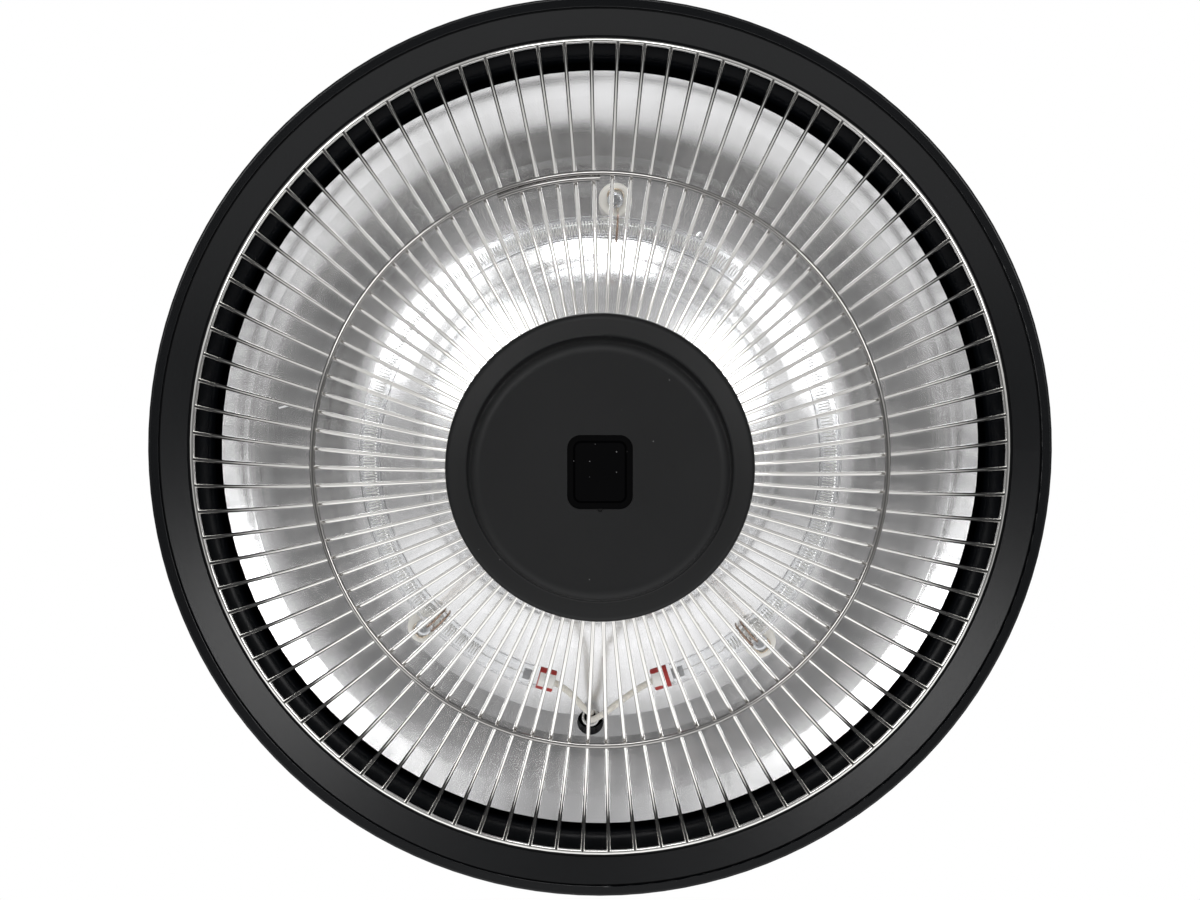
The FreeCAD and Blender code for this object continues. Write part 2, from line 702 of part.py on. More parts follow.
def make_gland():
    spot = (size("gland_place"), size("gland_place"))
    thread, bore = size("gland_thread"), size("gland_bore")
    hex_top = roof + size("gland_hex_height")
    thread_top = hex_top + size("gland_thread_up")
    body = new_body("cable_gland", spot=spot)
    middle = [(as_size(0), as_size(0))]
    stacked(body, middle, [(size("gland_flat"), roof, hex_top, bore)], hexagon=True)
    stacked(body, middle, [(thread, roof - size("gland_thread_down"), roof, bore),
                           (thread, hex_top, thread_top, bore)])
    nut = new_body("gland_locknut", spot=spot)
    stacked(nut, middle, [(size("gland_flat"), roof_inside - size("gland_nut_height"), roof_inside,
                           thread + size("screw_play"))], hexagon=True)
    seal_top = thread_top + size("seal_height")
    turned("gland_seal", [
        (size("cable_radius"), thread_top), (size("cable_radius") + size("seal_wall"), thread_top),
        (size("cable_radius") + size("seal_wall"), seal_top), (size("cable_radius"), seal_top)], spot=spot)
    outer, mouth = size("gland_cap_radius"), size("gland_mouth")
    inner = thread + size("screw_play")
    top = hex_top + size("gland_cap_height")
    crown = outer - mouth - 1
    turned("gland_cap_nut", [
        (inner, hex_top), (outer, hex_top), (outer, top - crown), (outer - crown, top, crown, 1),
        (mouth, top), (mouth, seal_top), (inner, seal_top)], spot=spot)


def make_board():
    half_length, width = size("board_length") / 2, size("board_width")
    low_y, high_y = -size("board_place") - width / 2, width / 2 - size("board_place")
    low = shade_top + size("board_rise")
    top = low + size("board_sheet")
    board = block("control_board", (-half_length, low_y, low), (half_length, high_y, top))
    inset = size("spacer_inset")
    spots = [(side * (half_length - inset), y) for side in (1, -1) for y in (low_y + inset, high_y - inset)]
    drill(board, spots, size("screw_radius") / 2 + size("screw_play"))
    spacers = new_body("board_spacers")
    stacked(spacers, spots, [(size("spacer_radius"), shade_top, low), (size("screw_radius") / 2, low, top),
                             (size("spacer_radius") - 1, top, top + 1)])
    relay_x = -size("relay_place")
    half_x, half_y = size("relay_length") / 2, size("relay_width") / 2
    block("relay", (relay_x - half_x, -size("board_place") - half_y, top),
          (relay_x + half_x, half_y - size("board_place"), top + size("relay_height")))
    coil_x = size("coil_block_place")
    half_x, half_y = size("coil_block_length") / 2, size("coil_block_width") / 2
    block("transformer", (coil_x - half_x, -size("board_place") - half_y, top),
          (coil_x + half_x, half_y - size("board_place"), top + size("coil_block_height")))
    clamp_half = size("clamp_length") / 2
    block("board_terminal", (-clamp_half, high_y - size("clamp_width"), top),
          (clamp_half, high_y, top + size("clamp_height")))
    return high_y, top + size("clamp_height") / 2


# Shade and rim ring

def make_shade():
    radius, wall, edge = size("shade_radius"), size("shade_wall"), -size("rim_drop")
    body = turned("shade", formed_sheet(
        [(radius, edge), (radius, size("shoulder_height")), (size("crown_radius"), shade_top),
         (0, shade_top)],
        [size("shoulder_round"), size("crown_round")], wall))
    hem = sketch_on(body, "XZ_Plane")
    draw_rectangle(hem, radius - size("hem_width"), edge, radius, edge + size("hem_thickness"))
    revolve(body, hem)
    round_ring(body, radius, edge, size("hem_round"))
    round_ring(body, radius - size("hem_width"), edge, size("hem_round") / 2)
    hole = size("screw_radius") + size("screw_play")
    drill(body, post_spots + boss_spots + bolt_spots, hole)
    drill(body, [(0, size("grommet_place"))], size("grommet_hole"))


def make_rim_ring():
    """The face leans, so that its outer edge lies below the step; a shelf rests on the shade's hem.

    Inside the ledge that the guard sits in, the sheet rolls back into the shade.
    """
    strip, ledge, low = size("rim_sheet"), size("ledge_recess"), -size("rim_drop")
    outer = size("shade_radius") - size("hem_width") - size("rim_gap")
    flange = size("shade_radius") - size("shade_wall") - size("flange_play")
    seat, top = low + size("hem_thickness"), size("flange_height")
    step, lip, roll = rim_step, ledge_edge, size("roll_radius")
    across, down = sine(size("roll_angle")), cosine(size("roll_angle"))
    roll_middle = ledge + roll

    def roll_end(radius):
        return lip - across * radius, roll_middle - down * radius

    inner = roll - strip
    turned("rim_ring", [
        roll_end(roll), (lip, ledge, roll, 1), (step, ledge), (step, 0), (outer, low), (outer, seat),
        (flange, seat), (flange, top), (flange - strip, top), (flange - strip, seat + strip),
        (outer - strip, seat + strip), (outer - strip, low + strip), (step + strip, strip),
        (step + strip, ledge + strip), (lip, ledge + strip), (*roll_end(inner), inner, -1)])


# Reflector, heat shield and what joins them

def make_reflector():
    """Domed hump in the middle, a round foot, a flat ring and an outer dish with a straight lip."""
    strip = size("reflector_sheet")
    hole = size("tube_outer") + size("tube_play")
    dome, fillet = size("hump_curve"), size("hump_round")
    dome_middle = flat_ring - size("hump_drop") + dome
    across, down = hump_foot / hump_reach, (hump_reach - size("hump_drop")) / hump_reach

    def hump_start(radius):
        return hole, dome_middle - root(square(radius) - square(hole))

    def hump_end(radius):
        return across * radius, dome_middle - down * radius

    back = dome - strip
    edge, start = dish_edge, size("dish_start")
    body = turned("reflector", [
        hump_start(dome), (*hump_end(dome), dome, 1), (hump_foot, flat_ring, fillet, -1), (start, flat_ring),
        (dish_bend, lip_rise, dish_curve, -1), (edge, 0), (edge, strip),
        (dish_bend, lip_rise + strip), (start, flat_back, dish_curve, 1),
        (hump_foot, flat_back), (*hump_end(back), fillet + strip, 1), (*hump_start(back), back, -1)])
    drill(body, insulator_spots, size("screw_radius") + size("screw_play"))
    drill(body, [lead_hole_spot], size("lead_hole"))


def make_shield():
    edge, strip = shield_edge, size("shield_sheet")
    hole = size("tube_outer") + size("tube_play")
    body = turned("heat_shield", [
        (hole, shield_low), (edge - strip, shield_low), (edge - strip, shield_high - size("shield_lip")),
        (edge, shield_high - size("shield_lip")), (edge, shield_high), (hole, shield_high)])
    drill(body, insulator_spots + post_spots, size("screw_radius") + size("screw_play"))
    drill(body, [lead_hole_spot], size("lead_hole"))
    thread = size("screw_radius") + size("screw_play")
    posts = new_body("shield_posts")
    stacked(posts, post_spots, [(size("post_flat"), shield_high, shade_ceiling, thread)], hexagon=True)
    screws = new_body("post_screws")
    head, grip = size("screw_head_height"), size("boss_thread")
    stacked(screws, post_spots, [(size("screw_head"), shade_top, shade_top + head),
                                 (size("screw_radius"), shade_top - grip, shade_top)])
    stacked(screws, post_spots, [(size("screw_head"), shield_low - head, shield_low),
                                 (size("screw_radius"), shield_low, shield_low + grip)])
    tubes = new_body("reflector_spacers")
    stacked(tubes, insulator_spots, [(size("spacer_tube"), flat_back, shield_low, thread)])


def make_shield_fittings():
    radius, height = size("cutout_radius"), size("cutout_height")
    step = shield_high + height * 0.4
    cutout = turned("thermal_cutout", [
        (0, shield_high), (radius, shield_high), (radius, step), (radius - 1, step),
        (radius - 1, shield_high + height), (0, shield_high + height)],
        spot=polar(size("cutout_circle"), size("cutout_angle")))
    blades = sketch_on(cutout, "XY_Plane", shield_high + height)
    for side in (1, -1):
        middle = side * radius / 2
        draw_rectangle(blades, middle - 0.4, -radius / 3, middle + 0.4, radius / 3)
    pad(cutout, blades, height * 0.8)
    outer, half = terminal_face, size("terminal_width") / 2
    block("lamp_terminal", (outer - size("terminal_length"), -half, shield_high),
          (outer, half, shield_high + size("terminal_height")), turn=size("lead_hole_angle"))
    lip, hole, flange = size("grommet_lip"), size("grommet_hole") - size("lead_play"), size("grommet_flange")
    bore = size("supply_radius") + size("lead_play")
    turned("wiring_grommet", [
        (bore, shade_ceiling - lip), (flange, shade_ceiling - lip), (flange, shade_ceiling),
        (hole, shade_ceiling), (hole, shade_top), (flange, shade_top), (flange, shade_top + lip),
        (bore, shade_top + lip)],
        spot=(as_size(0), size("grommet_place")))


# Insulators with their screws, and the spring-wire clips that carry the lamp

def make_insulators():
    radius, bore = size("insulator_radius"), size("screw_radius") + size("screw_play")
    foot, play = size("insulator_foot"), size("insulator_play")
    shoulder = foot_height(insulator_circle - radius) - play
    seat = foot_height(insulator_circle - foot) - play
    for name, spot in zip(("right", "left", "top"), insulator_spots):
        body = turned(f"insulator_{name}", [
            (bore, insulator_face), (radius, insulator_face), (radius, shoulder), (foot, shoulder),
            (foot, seat), (bore, seat)], spot=spot)
        round_ring(body, radius, insulator_face, size("insulator_round"))
    screws = new_body("insulator_screws")
    bolt_screws(screws, insulator_spots, insulator_face - 2 * size("clip_wire"), shield_high, up=False)


def clip_points():
    """Corners of a clip's middle line: two strands hook under the tube and meet in a loop round the screw."""
    wire, loop = size("clip_wire").value, size("clip_eye").value
    screw_x, lamp_x, lamp_z = insulator_circle.value, size("lamp_radius").value, lamp_height.value
    level = insulator_face.value - wire
    hook = size("tube_radius").value + wire + size("clip_play").value
    strand = size("clip_spacing").value / 2
    corners = [
        (lamp_x - hook, strand, lamp_z + size("clip_hook").value), (lamp_x - hook, strand, lamp_z - hook),
        (lamp_x + hook, strand, lamp_z - hook), (lamp_x + hook, strand, level),
        (lamp_x + hook + 2 * size("clip_bend").value, strand, level), (screw_x + loop, loop, level)]
    there = [FreeCAD.Vector(*corner) for corner in corners]
    back = [FreeCAD.Vector(x, -y, z) for x, y, z in reversed(corners)]
    return there + back


def make_clips():
    for name, turn in zip(("right", "left", "top"), insulator_turns):
        made_shape(f"lamp_clip_{name}", swept(round_path(clip_points()), size("clip_wire").value), turn)


# Ring lamp: quartz tube, coil, foils, ceramic ends and leads

def make_lamp_tube():
    turn = size("lamp_angle")
    body = new_body("lamp_tube", turn)
    radius, gap, plug = size("tube_radius"), size("lamp_gap_angle"), size("plug_angle")
    section = sketch_on(body, "XZ_Plane", turn=gap)
    draw_circle(section, size("lamp_radius"), lamp_height, radius)
    draw_circle(section, size("lamp_radius"), lamp_height, radius - size("tube_wall"))
    revolve(body, section, 360 - 2 * gap)
    for start in (gap, 360 - gap - plug):
        end = sketch_on(body, "XZ_Plane", turn=start)
        draw_circle(end, size("lamp_radius"), lamp_height, radius)
        revolve(body, end, plug)
    middle = size("lamp_radius")
    make_pump_nub(body, middle + radius - size("tube_wall") / 2)
    width, length, strip = size("foil_width"), size("foil_length"), size("foil_sheet")
    for name, side in (("right", -1), ("left", 1)):
        face_turn = turn + side * (gap + plug)
        ends = sorted_pair(as_size(0), side * length)
        foil = new_body(f"lamp_foil_{name}", face_turn)
        plate = sketch_on(foil, "XY_Plane", lamp_height)
        draw_rectangle(plate, middle - width / 2, ends[0], middle + width / 2, ends[1])
        pad(foil, plate, strip, symmetric=True)
        make_lamp_end(name, side, turn + side * gap)


def make_pump_nub(body, root_radius):
    """Drop of quartz on the tube's outer side, where it was pumped out and melted shut."""
    turn = size("nub_angle") - size("lamp_angle")
    foot, tip = size("nub_radius"), root_radius + size("nub_length")

    def at(along, aside):
        return along * cosine(turn) - aside * sine(turn), along * sine(turn) + aside * cosine(turn)

    profile = sketch_on(body, "XY_Plane", lamp_height)
    draw_axis(profile, at(root_radius, as_size(0)), at(tip, as_size(0)))
    draw_outline(profile, [
        at(root_radius, as_size(0)), at(tip, as_size(0)), at(tip, foot / 3), at(root_radius + foot / 2, foot),
        at(root_radius, foot)])
    revolve(body, profile, axis="Axis0")


def make_lamp_end(name, side, turn):
    """Ceramic block cemented to the end of the tube, with a bore for the lead."""
    body = new_body(f"lamp_end_{name}", turn)
    middle, edge = size("lamp_radius"), size("end_round")
    outer, bore = middle + size("end_radius"), middle + size("lead_radius") + size("lead_play")
    face, tip, floor = (-side * size(alias) for alias in ("end_play", "end_length", "end_floor"))
    profile = sketch_on(body, "XY_Plane", lamp_height)
    draw_axis(profile, (middle, face), (middle, tip))
    draw_outline(profile, [
        (middle, face), (outer, face), (outer, tip + side * edge), (outer - edge, tip, edge, -side),
        (bore, tip), (bore, floor), (middle, floor)])
    revolve(body, profile, axis="Axis0")


def biarc(start, heading, end, last_heading):
    """Two arcs from start to end that leave and arrive along the given headings."""
    way = end - start
    headings = heading + last_heading
    spread = 2 * (1 - heading.dot(last_heading))
    along = way.dot(headings)
    reach = (math.sqrt(along * along + spread * way.dot(way)) - along) / spread
    first, second = start + heading * reach, end - last_heading * reach
    middle = (first + second) / 2
    turn = (second - first).normalize()
    return [tangent_arc(start, heading, middle), tangent_arc(middle, turn, end)]


def tangent_arc(start, heading, end):
    way = end - start
    side = (way - heading * way.dot(heading)).normalize()
    radius = way.dot(way) / (2 * way.dot(side))
    half = math.atan2(way.dot(side), way.dot(heading))
    middle = start + side * radius + (heading * math.sin(half) - side * math.cos(half)) * radius
    return Part.Arc(start, middle, end).toShape()


def make_lamp_coil():
    """One unbroken wire: a straight lead from each foil and the turns between them."""
    ring, coil, wire = size("lamp_radius").value, size("coil_radius").value, size("coil_wire").value
    turns = int(size("coil_turns").value)
    first, sweep = size("coil_gap_angle").value, 360 - 2 * size("coil_gap_angle").value

    def place(turn, radius=coil):
        angle = math.radians(first + sweep * turn / turns)
        wind = 2 * math.pi * turn
        reach = ring - radius * math.cos(wind)
        level = lamp_height.value + radius * math.sin(wind)
        return FreeCAD.Vector(reach * math.cos(angle), reach * math.sin(angle), level)

    def heading(turn):
        step = 1e-5
        return (place(turn + step) - place(turn - step)).normalize()

    edges = []
    half_turns = 2 * turns
    for step in range(half_turns):
        start, end = step / 2, (step + 1) / 2
        edges += biarc(place(start), heading(start), place(end), heading(end))
    foil_turn = size("lamp_gap_angle").value + size("plug_angle").value
    foil_turn += math.degrees(size("foil_length").value / ring)
    straight = size("coil_lead").value

    def foil_edge(angle, along):
        """Point on the tangent of the ring's middle line, so far past the given angle."""
        turn = math.radians(angle)
        return FreeCAD.Vector(ring * math.cos(turn) - along * math.sin(turn),
                              ring * math.sin(turn) + along * math.cos(turn), lamp_height.value)

    start_lead = [foil_edge(foil_turn, 0), foil_edge(foil_turn, straight)]
    end_lead = [foil_edge(-foil_turn, -straight), foil_edge(-foil_turn, 0)]
    start_way = (start_lead[1] - start_lead[0]).normalize()
    end_way = (end_lead[1] - end_lead[0]).normalize()
    lead_in = [Part.LineSegment(*start_lead).toShape()]
    lead_in += biarc(start_lead[1], start_way, place(0), heading(0))
    lead_out = biarc(place(turns), heading(turns), end_lead[0], end_way)
    lead_out.append(Part.LineSegment(*end_lead).toShape())
    edges = lead_in + edges + lead_out
    samples = [place(step / 24) for step in range(24 * turns + 1)]
    least = min((samples[index] - samples[other]).Length for index in range(0, len(samples) - 12, 6)
                for other in range(index + 12, min(index + 40, len(samples))))
    print(f"lamp coil: least gap to itself {least - 2 * wire:.2f} mm")
    made_shape("lamp_coil", swept(edges, wire), size("lamp_angle"))


def lead_points(side):
    """Route of a lamp lead in the frame of the lamp's gap: radial, tangential, upright."""
    turn = size("lamp_angle").value + side * size("lamp_gap_angle").value
    ring, level = size("lamp_radius").value, lamp_height.value
    spin = FreeCAD.Rotation(FreeCAD.Vector(0, 0, 1), turn)
    end_floor, end_tip = -side * size("end_floor").value, -side * size("end_length").value
    begin = spin.multVec(FreeCAD.Vector(ring, end_floor, level))
    leave = spin.multVec(FreeCAD.Vector(ring, end_tip * 1.5, level))
    hole_spin = FreeCAD.Rotation(FreeCAD.Vector(0, 0, 1), size("lead_hole_angle").value)
    hole_x = lead_hole_circle.value - size("sleeve_shift").value
    beside = side * size("lead_spacing").value
    low = flat_ring.value - size("sleeve_low").value
    high = shield_high.value + size("terminal_height").value / 2

    def at(x, z):
        return hole_spin.multVec(FreeCAD.Vector(x, beside, z))

    entry = at(hole_x, low - size("lead_sag").value)
    return [begin, leave, entry, at(hole_x, high), at(terminal_face.value, high)]


def make_leads():
    for name, side in (("right", -1), ("left", 1)):
        made_shape(f"lamp_lead_{name}", swept(round_path(lead_points(side)), size("lead_radius").value))
    radius = size("sleeve_radius")
    low = flat_ring - size("sleeve_low")
    high = shield_high + size("sleeve_high")
    spot = polar(lead_hole_circle - size("sleeve_shift"), size("lead_hole_angle"))
    turned("lead_sleeve", [(radius - size("sleeve_wall"), low), (radius, low), (radius, high),
                           (radius - size("sleeve_wall"), high)], spot=spot)


def make_supply(clamp_y, clamp_z):
    outer, level = terminal_face - size("terminal_length"), shield_high + size("terminal_height") / 2
    spin = FreeCAD.Rotation(FreeCAD.Vector(0, 0, 1), size("lead_hole_angle").value)
    begin = spin.multVec(FreeCAD.Vector(outer.value, 0, level.value))
    inward = spin.multVec(FreeCAD.Vector(outer.value * 2 / 3, 0, level.value))
    hole_y, sag = size("grommet_place").value, size("supply_sag").value
    points = [begin, inward, FreeCAD.Vector(0, hole_y, level.value + sag),
              FreeCAD.Vector(0, hole_y, clamp_z.value), FreeCAD.Vector(0, clamp_y.value, clamp_z.value)]
    made_shape("supply_cable", swept(round_path(points), size("supply_radius").value))


# Guard: welded rings and bowed spokes

def make_guard():
    ring = new_body("guard_outer_ring")
    section = sketch_on(ring, "XZ_Plane")
    draw_circle(section, guard_radius, guard_height, size("guard_ring_wire"))
    revolve(ring, section)
    hub = new_body("guard_hub_ring")
    section = sketch_on(hub, "XZ_Plane")
    draw_circle(section, size("hub_radius"), hub_height, size("hub_wire"))
    revolve(hub, section)
    middle = new_body("guard_middle_ring")
    radius = size("middle_radius")
    offset = size("spoke_wire") + size("middle_wire") - size("weld_sink")
    section = sketch_on(middle, "XZ_Plane")
    draw_circle(section, radius, dome_height(radius, offset), size("middle_wire"))
    revolve(middle, section)
    lap_radius = radius - 2 * size("middle_wire") + size("weld_sink")
    lap = sketch_on(middle, "XZ_Plane", turn=size("lap_start_angle"))
    draw_circle(lap, lap_radius, dome_height(lap_radius, offset), size("middle_wire"))
    revolve(middle, lap, size("lap_angle"))


def make_spokes():
    body = new_body("guard_spokes", size("guard_angle"))
    reach = dome_radius
    degrees = 180 / math.pi
    sink = size("weld_sink")
    first = arc_sine(size("hub_radius") / reach) + (size("hub_wire") - sink) / reach * degrees
    last = arc_sine(guard_radius / reach) - (size("guard_ring_wire") - sink) / reach * degrees
    spine = sketch_on(body, "XZ_Plane")
    circle = Part.Circle(flat(0, dome_centre), FreeCAD.Vector(0, 0, 1), reach.value)
    arc = Part.ArcOfCircle(circle, math.radians(first.value - 90), math.radians(last.value - 90))
    edge = spine.addGeometry(arc, False)
    fix_radius(spine, edge, reach)
    fix_point(spine, edge, 1, reach * sine(first), dome_centre - reach * cosine(first))
    fix_point(spine, edge, 2, reach * sine(last), dome_centre - reach * cosine(last))
    section = sketch_on(body, "YZ_Plane")
    lean = FreeCAD.Rotation(FreeCAD.Vector(-1, 0, 0), first.value)
    section.AttachmentOffset = FreeCAD.Placement(FreeCAD.Vector(), lean)
    bind(section, "AttachmentOffset.Rotation.Angle", first)
    bind(section, "AttachmentOffset.Base.y", dome_centre - reach * cosine(first))
    bind(section, "AttachmentOffset.Base.z", reach * sine(first))
    draw_circle(section, 0, 0, size("spoke_wire"))
    pipe = body.newObject("PartDesign::AdditivePipe", "guard_spokes_pipe")
    pipe.Profile = section
    pipe.Spine = (spine, ["Edge1"])
    repeat(body, pipe, SPOKE_COUNT)


# Cap, centre tube and receiver

def make_cap():
    radius, foot, disc = size("cap_radius"), size("cap_foot"), size("cap_disc")
    band = cap_rear - size("cap_band")
    step = band - size("cap_slope")
    body = turned("cap", formed_sheet(
        [(0, cap_face), (disc, cap_face), (foot, step), (radius, band), (radius, cap_rear)],
        [size("cap_round"), size("cap_foot_round"), size("cap_edge_round")], size("cap_wall")))
    boss_bore = size("cap_screw") + size("lead_play") / 2
    stacked(body, cap_boss_spots, [(size("cap_boss"), cap_inside, base_low, boss_bore)])
    pegs = [(side * size("peg_place"), as_size(0)) for side in (1, -1)]
    stacked(body, pegs, [(size("peg_radius"), cap_inside, cap_inside + size("receiver_gap"))])
    opening = sketch_on(body, "XY_Plane", cap_face)
    play = 2 * size("window_play")
    draw_rounded(opening, size("window_width") + play, size("window_height") + play, size("window_corner"))
    pocket(body, opening, 2 * size("cap_wall"), reverse=True)
    notch = sketch_on(body, "XY_Plane", cap_face)
    draw_circle(notch, 0, (size("window_height") + play) / 2, size("window_notch"))
    pocket(body, notch, size("window_recess") + size("window_bevel"), reverse=True)
    screws = new_body("cap_screws")
    stacked(screws, cap_boss_spots, [(size("cap_screw"), base_high - size("cap_screw_length"), base_high),
                                     (2 * size("cap_screw"), base_high, base_high + size("cap_screw"))])


def make_window():
    body = new_body("receiver_window")
    width, height, corner = size("window_width"), size("window_height"), size("window_corner")
    front = cap_face + size("window_recess")
    pad_depth, flange = size("window_bevel"), size("window_flange")
    plate = sketch_on(body, "XY_Plane", front + pad_depth)
    draw_rounded(plate, width, height, corner)
    pad(body, plate, cap_inside - front - pad_depth)
    back = sketch_on(body, "XY_Plane", cap_inside)
    draw_rounded(back, width + 2 * flange, height + 2 * flange, corner + flange)
    pad(body, back, size("window_sheet"))
    inset = size("window_pad")
    raised = sketch_on(body, "XY_Plane", front)
    draw_rounded(raised, width - 2 * inset, height - 2 * inset, corner - inset)
    pad(body, raised, pad_depth)
    doc.recompute()
    base = body.Tip
    edges = [f"Edge{number}" for number, edge in enumerate(base.Shape.Edges, start=1)
             if edge.BoundBox.ZLength < 1e-6 and abs(edge.BoundBox.ZMin - front.value) < 1e-4]
    rim = body.newObject("PartDesign::Chamfer", "receiver_window_bevel")
    rim.Base = (base, edges)
    bind(rim, "Size", pad_depth * 0.8)


def make_receiver():
    low = cap_inside + size("receiver_gap")
    top = low + size("board_sheet")
    half_x, half_y = size("receiver_length") / 2, size("receiver_width") / 2
    block("receiver_board", (-half_x, -half_y, low), (half_x, half_y, top))
    half = size("sensor_width") / 2
    face = low - size("sensor_height")
    sensor = block("receiver_sensor", (-half, -half, face), (half, half, low))
    stacked(sensor, [(as_size(0), as_size(0))], [(half * 0.7, face - half * 0.3, face)])
    lead_top = shield_high + size("tube_nut_height") * 2
    stacked(new_body("receiver_lead"), [(as_size(0), as_size(0))], [(size("receiver_lead"), top, lead_top)])


def make_centre_tube():
    outer, bore, nut = size("tube_outer"), size("tube_bore"), size("tube_nut_height")
    low, high = base_low - nut - 1, shield_high + nut + 1
    middle = [(as_size(0), as_size(0))]
    stacked(new_body("centre_tube"), middle, [(outer, low, high, bore)])
    hole = outer + size("screw_play")
    nut_tops = (base_low, base_high + nut, shield_low, shield_high + nut)
    stacked(new_body("tube_nuts"), middle, [
        (size("tube_nut_flat"), top - nut, top, hole) for top in nut_tops], hexagon=True)
    plate = size("hub_radius") + size("hub_wire")
    base = stacked(new_body("cap_base"), middle, [(plate, base_low, base_high, hole)])
    drill(base, cap_boss_spots, size("cap_screw") + size("screw_play"))


make_hanging_link()
make_clevis()
make_clevis_pin()
make_bracket()
make_housing()
make_gland()
clamp_face = make_board()
make_shade()
make_rim_ring()
make_reflector()
make_shield()
make_shield_fittings()
make_insulators()
make_clips()
make_lamp_tube()
make_lamp_coil()
make_leads()
make_supply(*clamp_face)
make_guard()
make_spokes()
make_cap()
make_window()
make_receiver()
make_centre_tube()
doc.recompute()

# Every feature has to have worked before anything is written
for item in doc.Objects:
    if "Invalid" in item.State or "Error" in item.State:
        raise RuntimeError(f"{item.Name} failed")
for piece in pieces:
    if piece.Shape.isNull() or not piece.Shape.isValid() or not piece.Shape.Solids:
        raise RuntimeError(f"{piece.Label} has no valid solid")
os.makedirs("parts", exist_ok=True)
for piece in pieces:
    piece.Shape.exportStep(f"parts/{piece.Label}.step")
print(f"{len(pieces)} pieces written")
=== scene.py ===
import json
import math
import bpy
from mathutils import Matrix, Vector


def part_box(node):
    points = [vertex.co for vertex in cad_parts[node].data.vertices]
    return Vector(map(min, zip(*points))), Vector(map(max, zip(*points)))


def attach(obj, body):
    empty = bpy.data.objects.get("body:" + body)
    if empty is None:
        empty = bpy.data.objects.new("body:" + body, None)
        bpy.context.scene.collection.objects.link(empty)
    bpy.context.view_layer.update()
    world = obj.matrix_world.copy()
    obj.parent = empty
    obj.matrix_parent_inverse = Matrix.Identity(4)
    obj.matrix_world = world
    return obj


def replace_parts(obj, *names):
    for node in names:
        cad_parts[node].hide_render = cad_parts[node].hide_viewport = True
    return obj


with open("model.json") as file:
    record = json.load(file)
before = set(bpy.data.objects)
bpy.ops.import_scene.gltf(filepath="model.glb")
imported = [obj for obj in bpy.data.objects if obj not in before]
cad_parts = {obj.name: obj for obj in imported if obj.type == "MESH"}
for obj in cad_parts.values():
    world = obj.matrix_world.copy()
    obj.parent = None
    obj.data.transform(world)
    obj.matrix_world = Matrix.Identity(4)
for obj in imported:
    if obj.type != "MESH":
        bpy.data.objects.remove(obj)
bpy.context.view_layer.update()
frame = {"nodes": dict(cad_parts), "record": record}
nodes = frame["nodes"]
HEATER = "heater"

# Places in the part's frame, in metres: the origin is the hanging eye, +Z is up and the rim is below
RIM_LEVEL = -0.184
# Painted shade on the enamel: it covers what lies inside the rim's step radius and below the ledge's top
# level, fading out over these widths
STEP_RADIUS = 0.193
STEP_WIDTH = 0.0015
SHADED_LEDGE_TOP = RIM_LEVEL + 0.03
SHADED_LEDGE_FADE = 0.01

# The ring lamp's centre line, in millimetres from the axis and below the rim, and then in metres
LAMP_OUT = 106.5
LAMP_DROP = 36
LAMP_RADIUS = LAMP_OUT / 1000
LAMP_LEVEL = RIM_LEVEL - LAMP_DROP / 1000

# Angles in degrees: of the gap in the lamp, from there to its ends, foils and coil, and of the leads' sleeve
LAMP_ANGLE = 89.1
END_ANGLE = 16.6
FOIL_ANGLE = 20.4
COIL_ANGLE = 32.4
SLEEVE_ANGLE = 92.0


def from_rim(angle, out, aside, height):
    """Point in millimetres out from the axis, aside and above the rim, turned by an angle in degrees."""
    turn = Matrix.Rotation(math.radians(angle), 3, "Z")
    spot = turn @ Vector((out, aside, height)) / 1000
    return spot + Vector((0, 0, RIM_LEVEL))


# Node trees

def feed(tree, socket, value):
    """Links another node's output to a socket, or sets a plain value on it."""
    if isinstance(value, bpy.types.NodeSocket):
        tree.links.new(value, socket)
    else:
        socket.default_value = value


def feed_all(tree, node, **sources):
    """Feeds a node's inputs by name, with an underscore for each space in the name."""
    for name, value in sources.items():
        feed(tree, node.inputs[name.replace("_", " ")], value)


def make_node(tree, kind, inputs=None, **settings):
    """Adds a node; an input is a plain value or another node's output."""
    node = tree.nodes.new(kind)
    for name, value in settings.items():
        setattr(node, name, value)
    for name, value in (inputs or {}).items():
        feed(tree, node.inputs[name], value)
    return node


def calculated(tree, operation, first, second=0.0, clamp=False):
    inputs = {0: first, 1: second}
    return make_node(tree, "ShaderNodeMath", inputs, operation=operation, use_clamp=clamp).outputs[0]


def plus(tree, first, second, clamp=False):
    return calculated(tree, "ADD", first, second, clamp)


def minus(tree, first, second, clamp=False):
    return calculated(tree, "SUBTRACT", first, second, clamp)


def times(tree, first, second):
    return calculated(tree, "MULTIPLY", first, second)


def divided(tree, first, second):
    return calculated(tree, "DIVIDE", first, second)


def larger(tree, first, second):
    return calculated(tree, "MAXIMUM", first, second)


def magnitude(tree, value):
    return calculated(tree, "ABSOLUTE", value)


def between(tree, value, low, high, to_low=0.0, to_high=1.0):
    """Maps a value from one range to another and holds it there."""
    inputs = {"Value": value, "From Min": low, "From Max": high, "To Min": to_low, "To Max": to_high}
    return make_node(tree, "ShaderNodeMapRange", inputs, clamp=True).outputs["Result"]


def vector_node(tree, operation, first, second=(0, 0, 0)):
    return make_node(tree, "ShaderNodeVectorMath", {0: first, 1: second}, operation=operation).outputs[0]


def scaled(tree, vector, factor):
    inputs = {0: vector, "Scale": factor}
    return make_node(tree, "ShaderNodeVectorMath", inputs, operation="SCALE").outputs[0]


def turned(tree, vector, axis, angle):
    inputs = {"Vector": vector, "Axis": axis, "Angle": angle}
    return make_node(tree, "ShaderNodeVectorRotate", inputs).outputs[0]


def split(tree, vector):
    return make_node(tree, "ShaderNodeSeparateXYZ", {0: vector}).outputs


def joined(tree, x=0.0, y=0.0, z=0.0):
    return make_node(tree, "ShaderNodeCombineXYZ", {"X": x, "Y": y, "Z": z}).outputs[0]


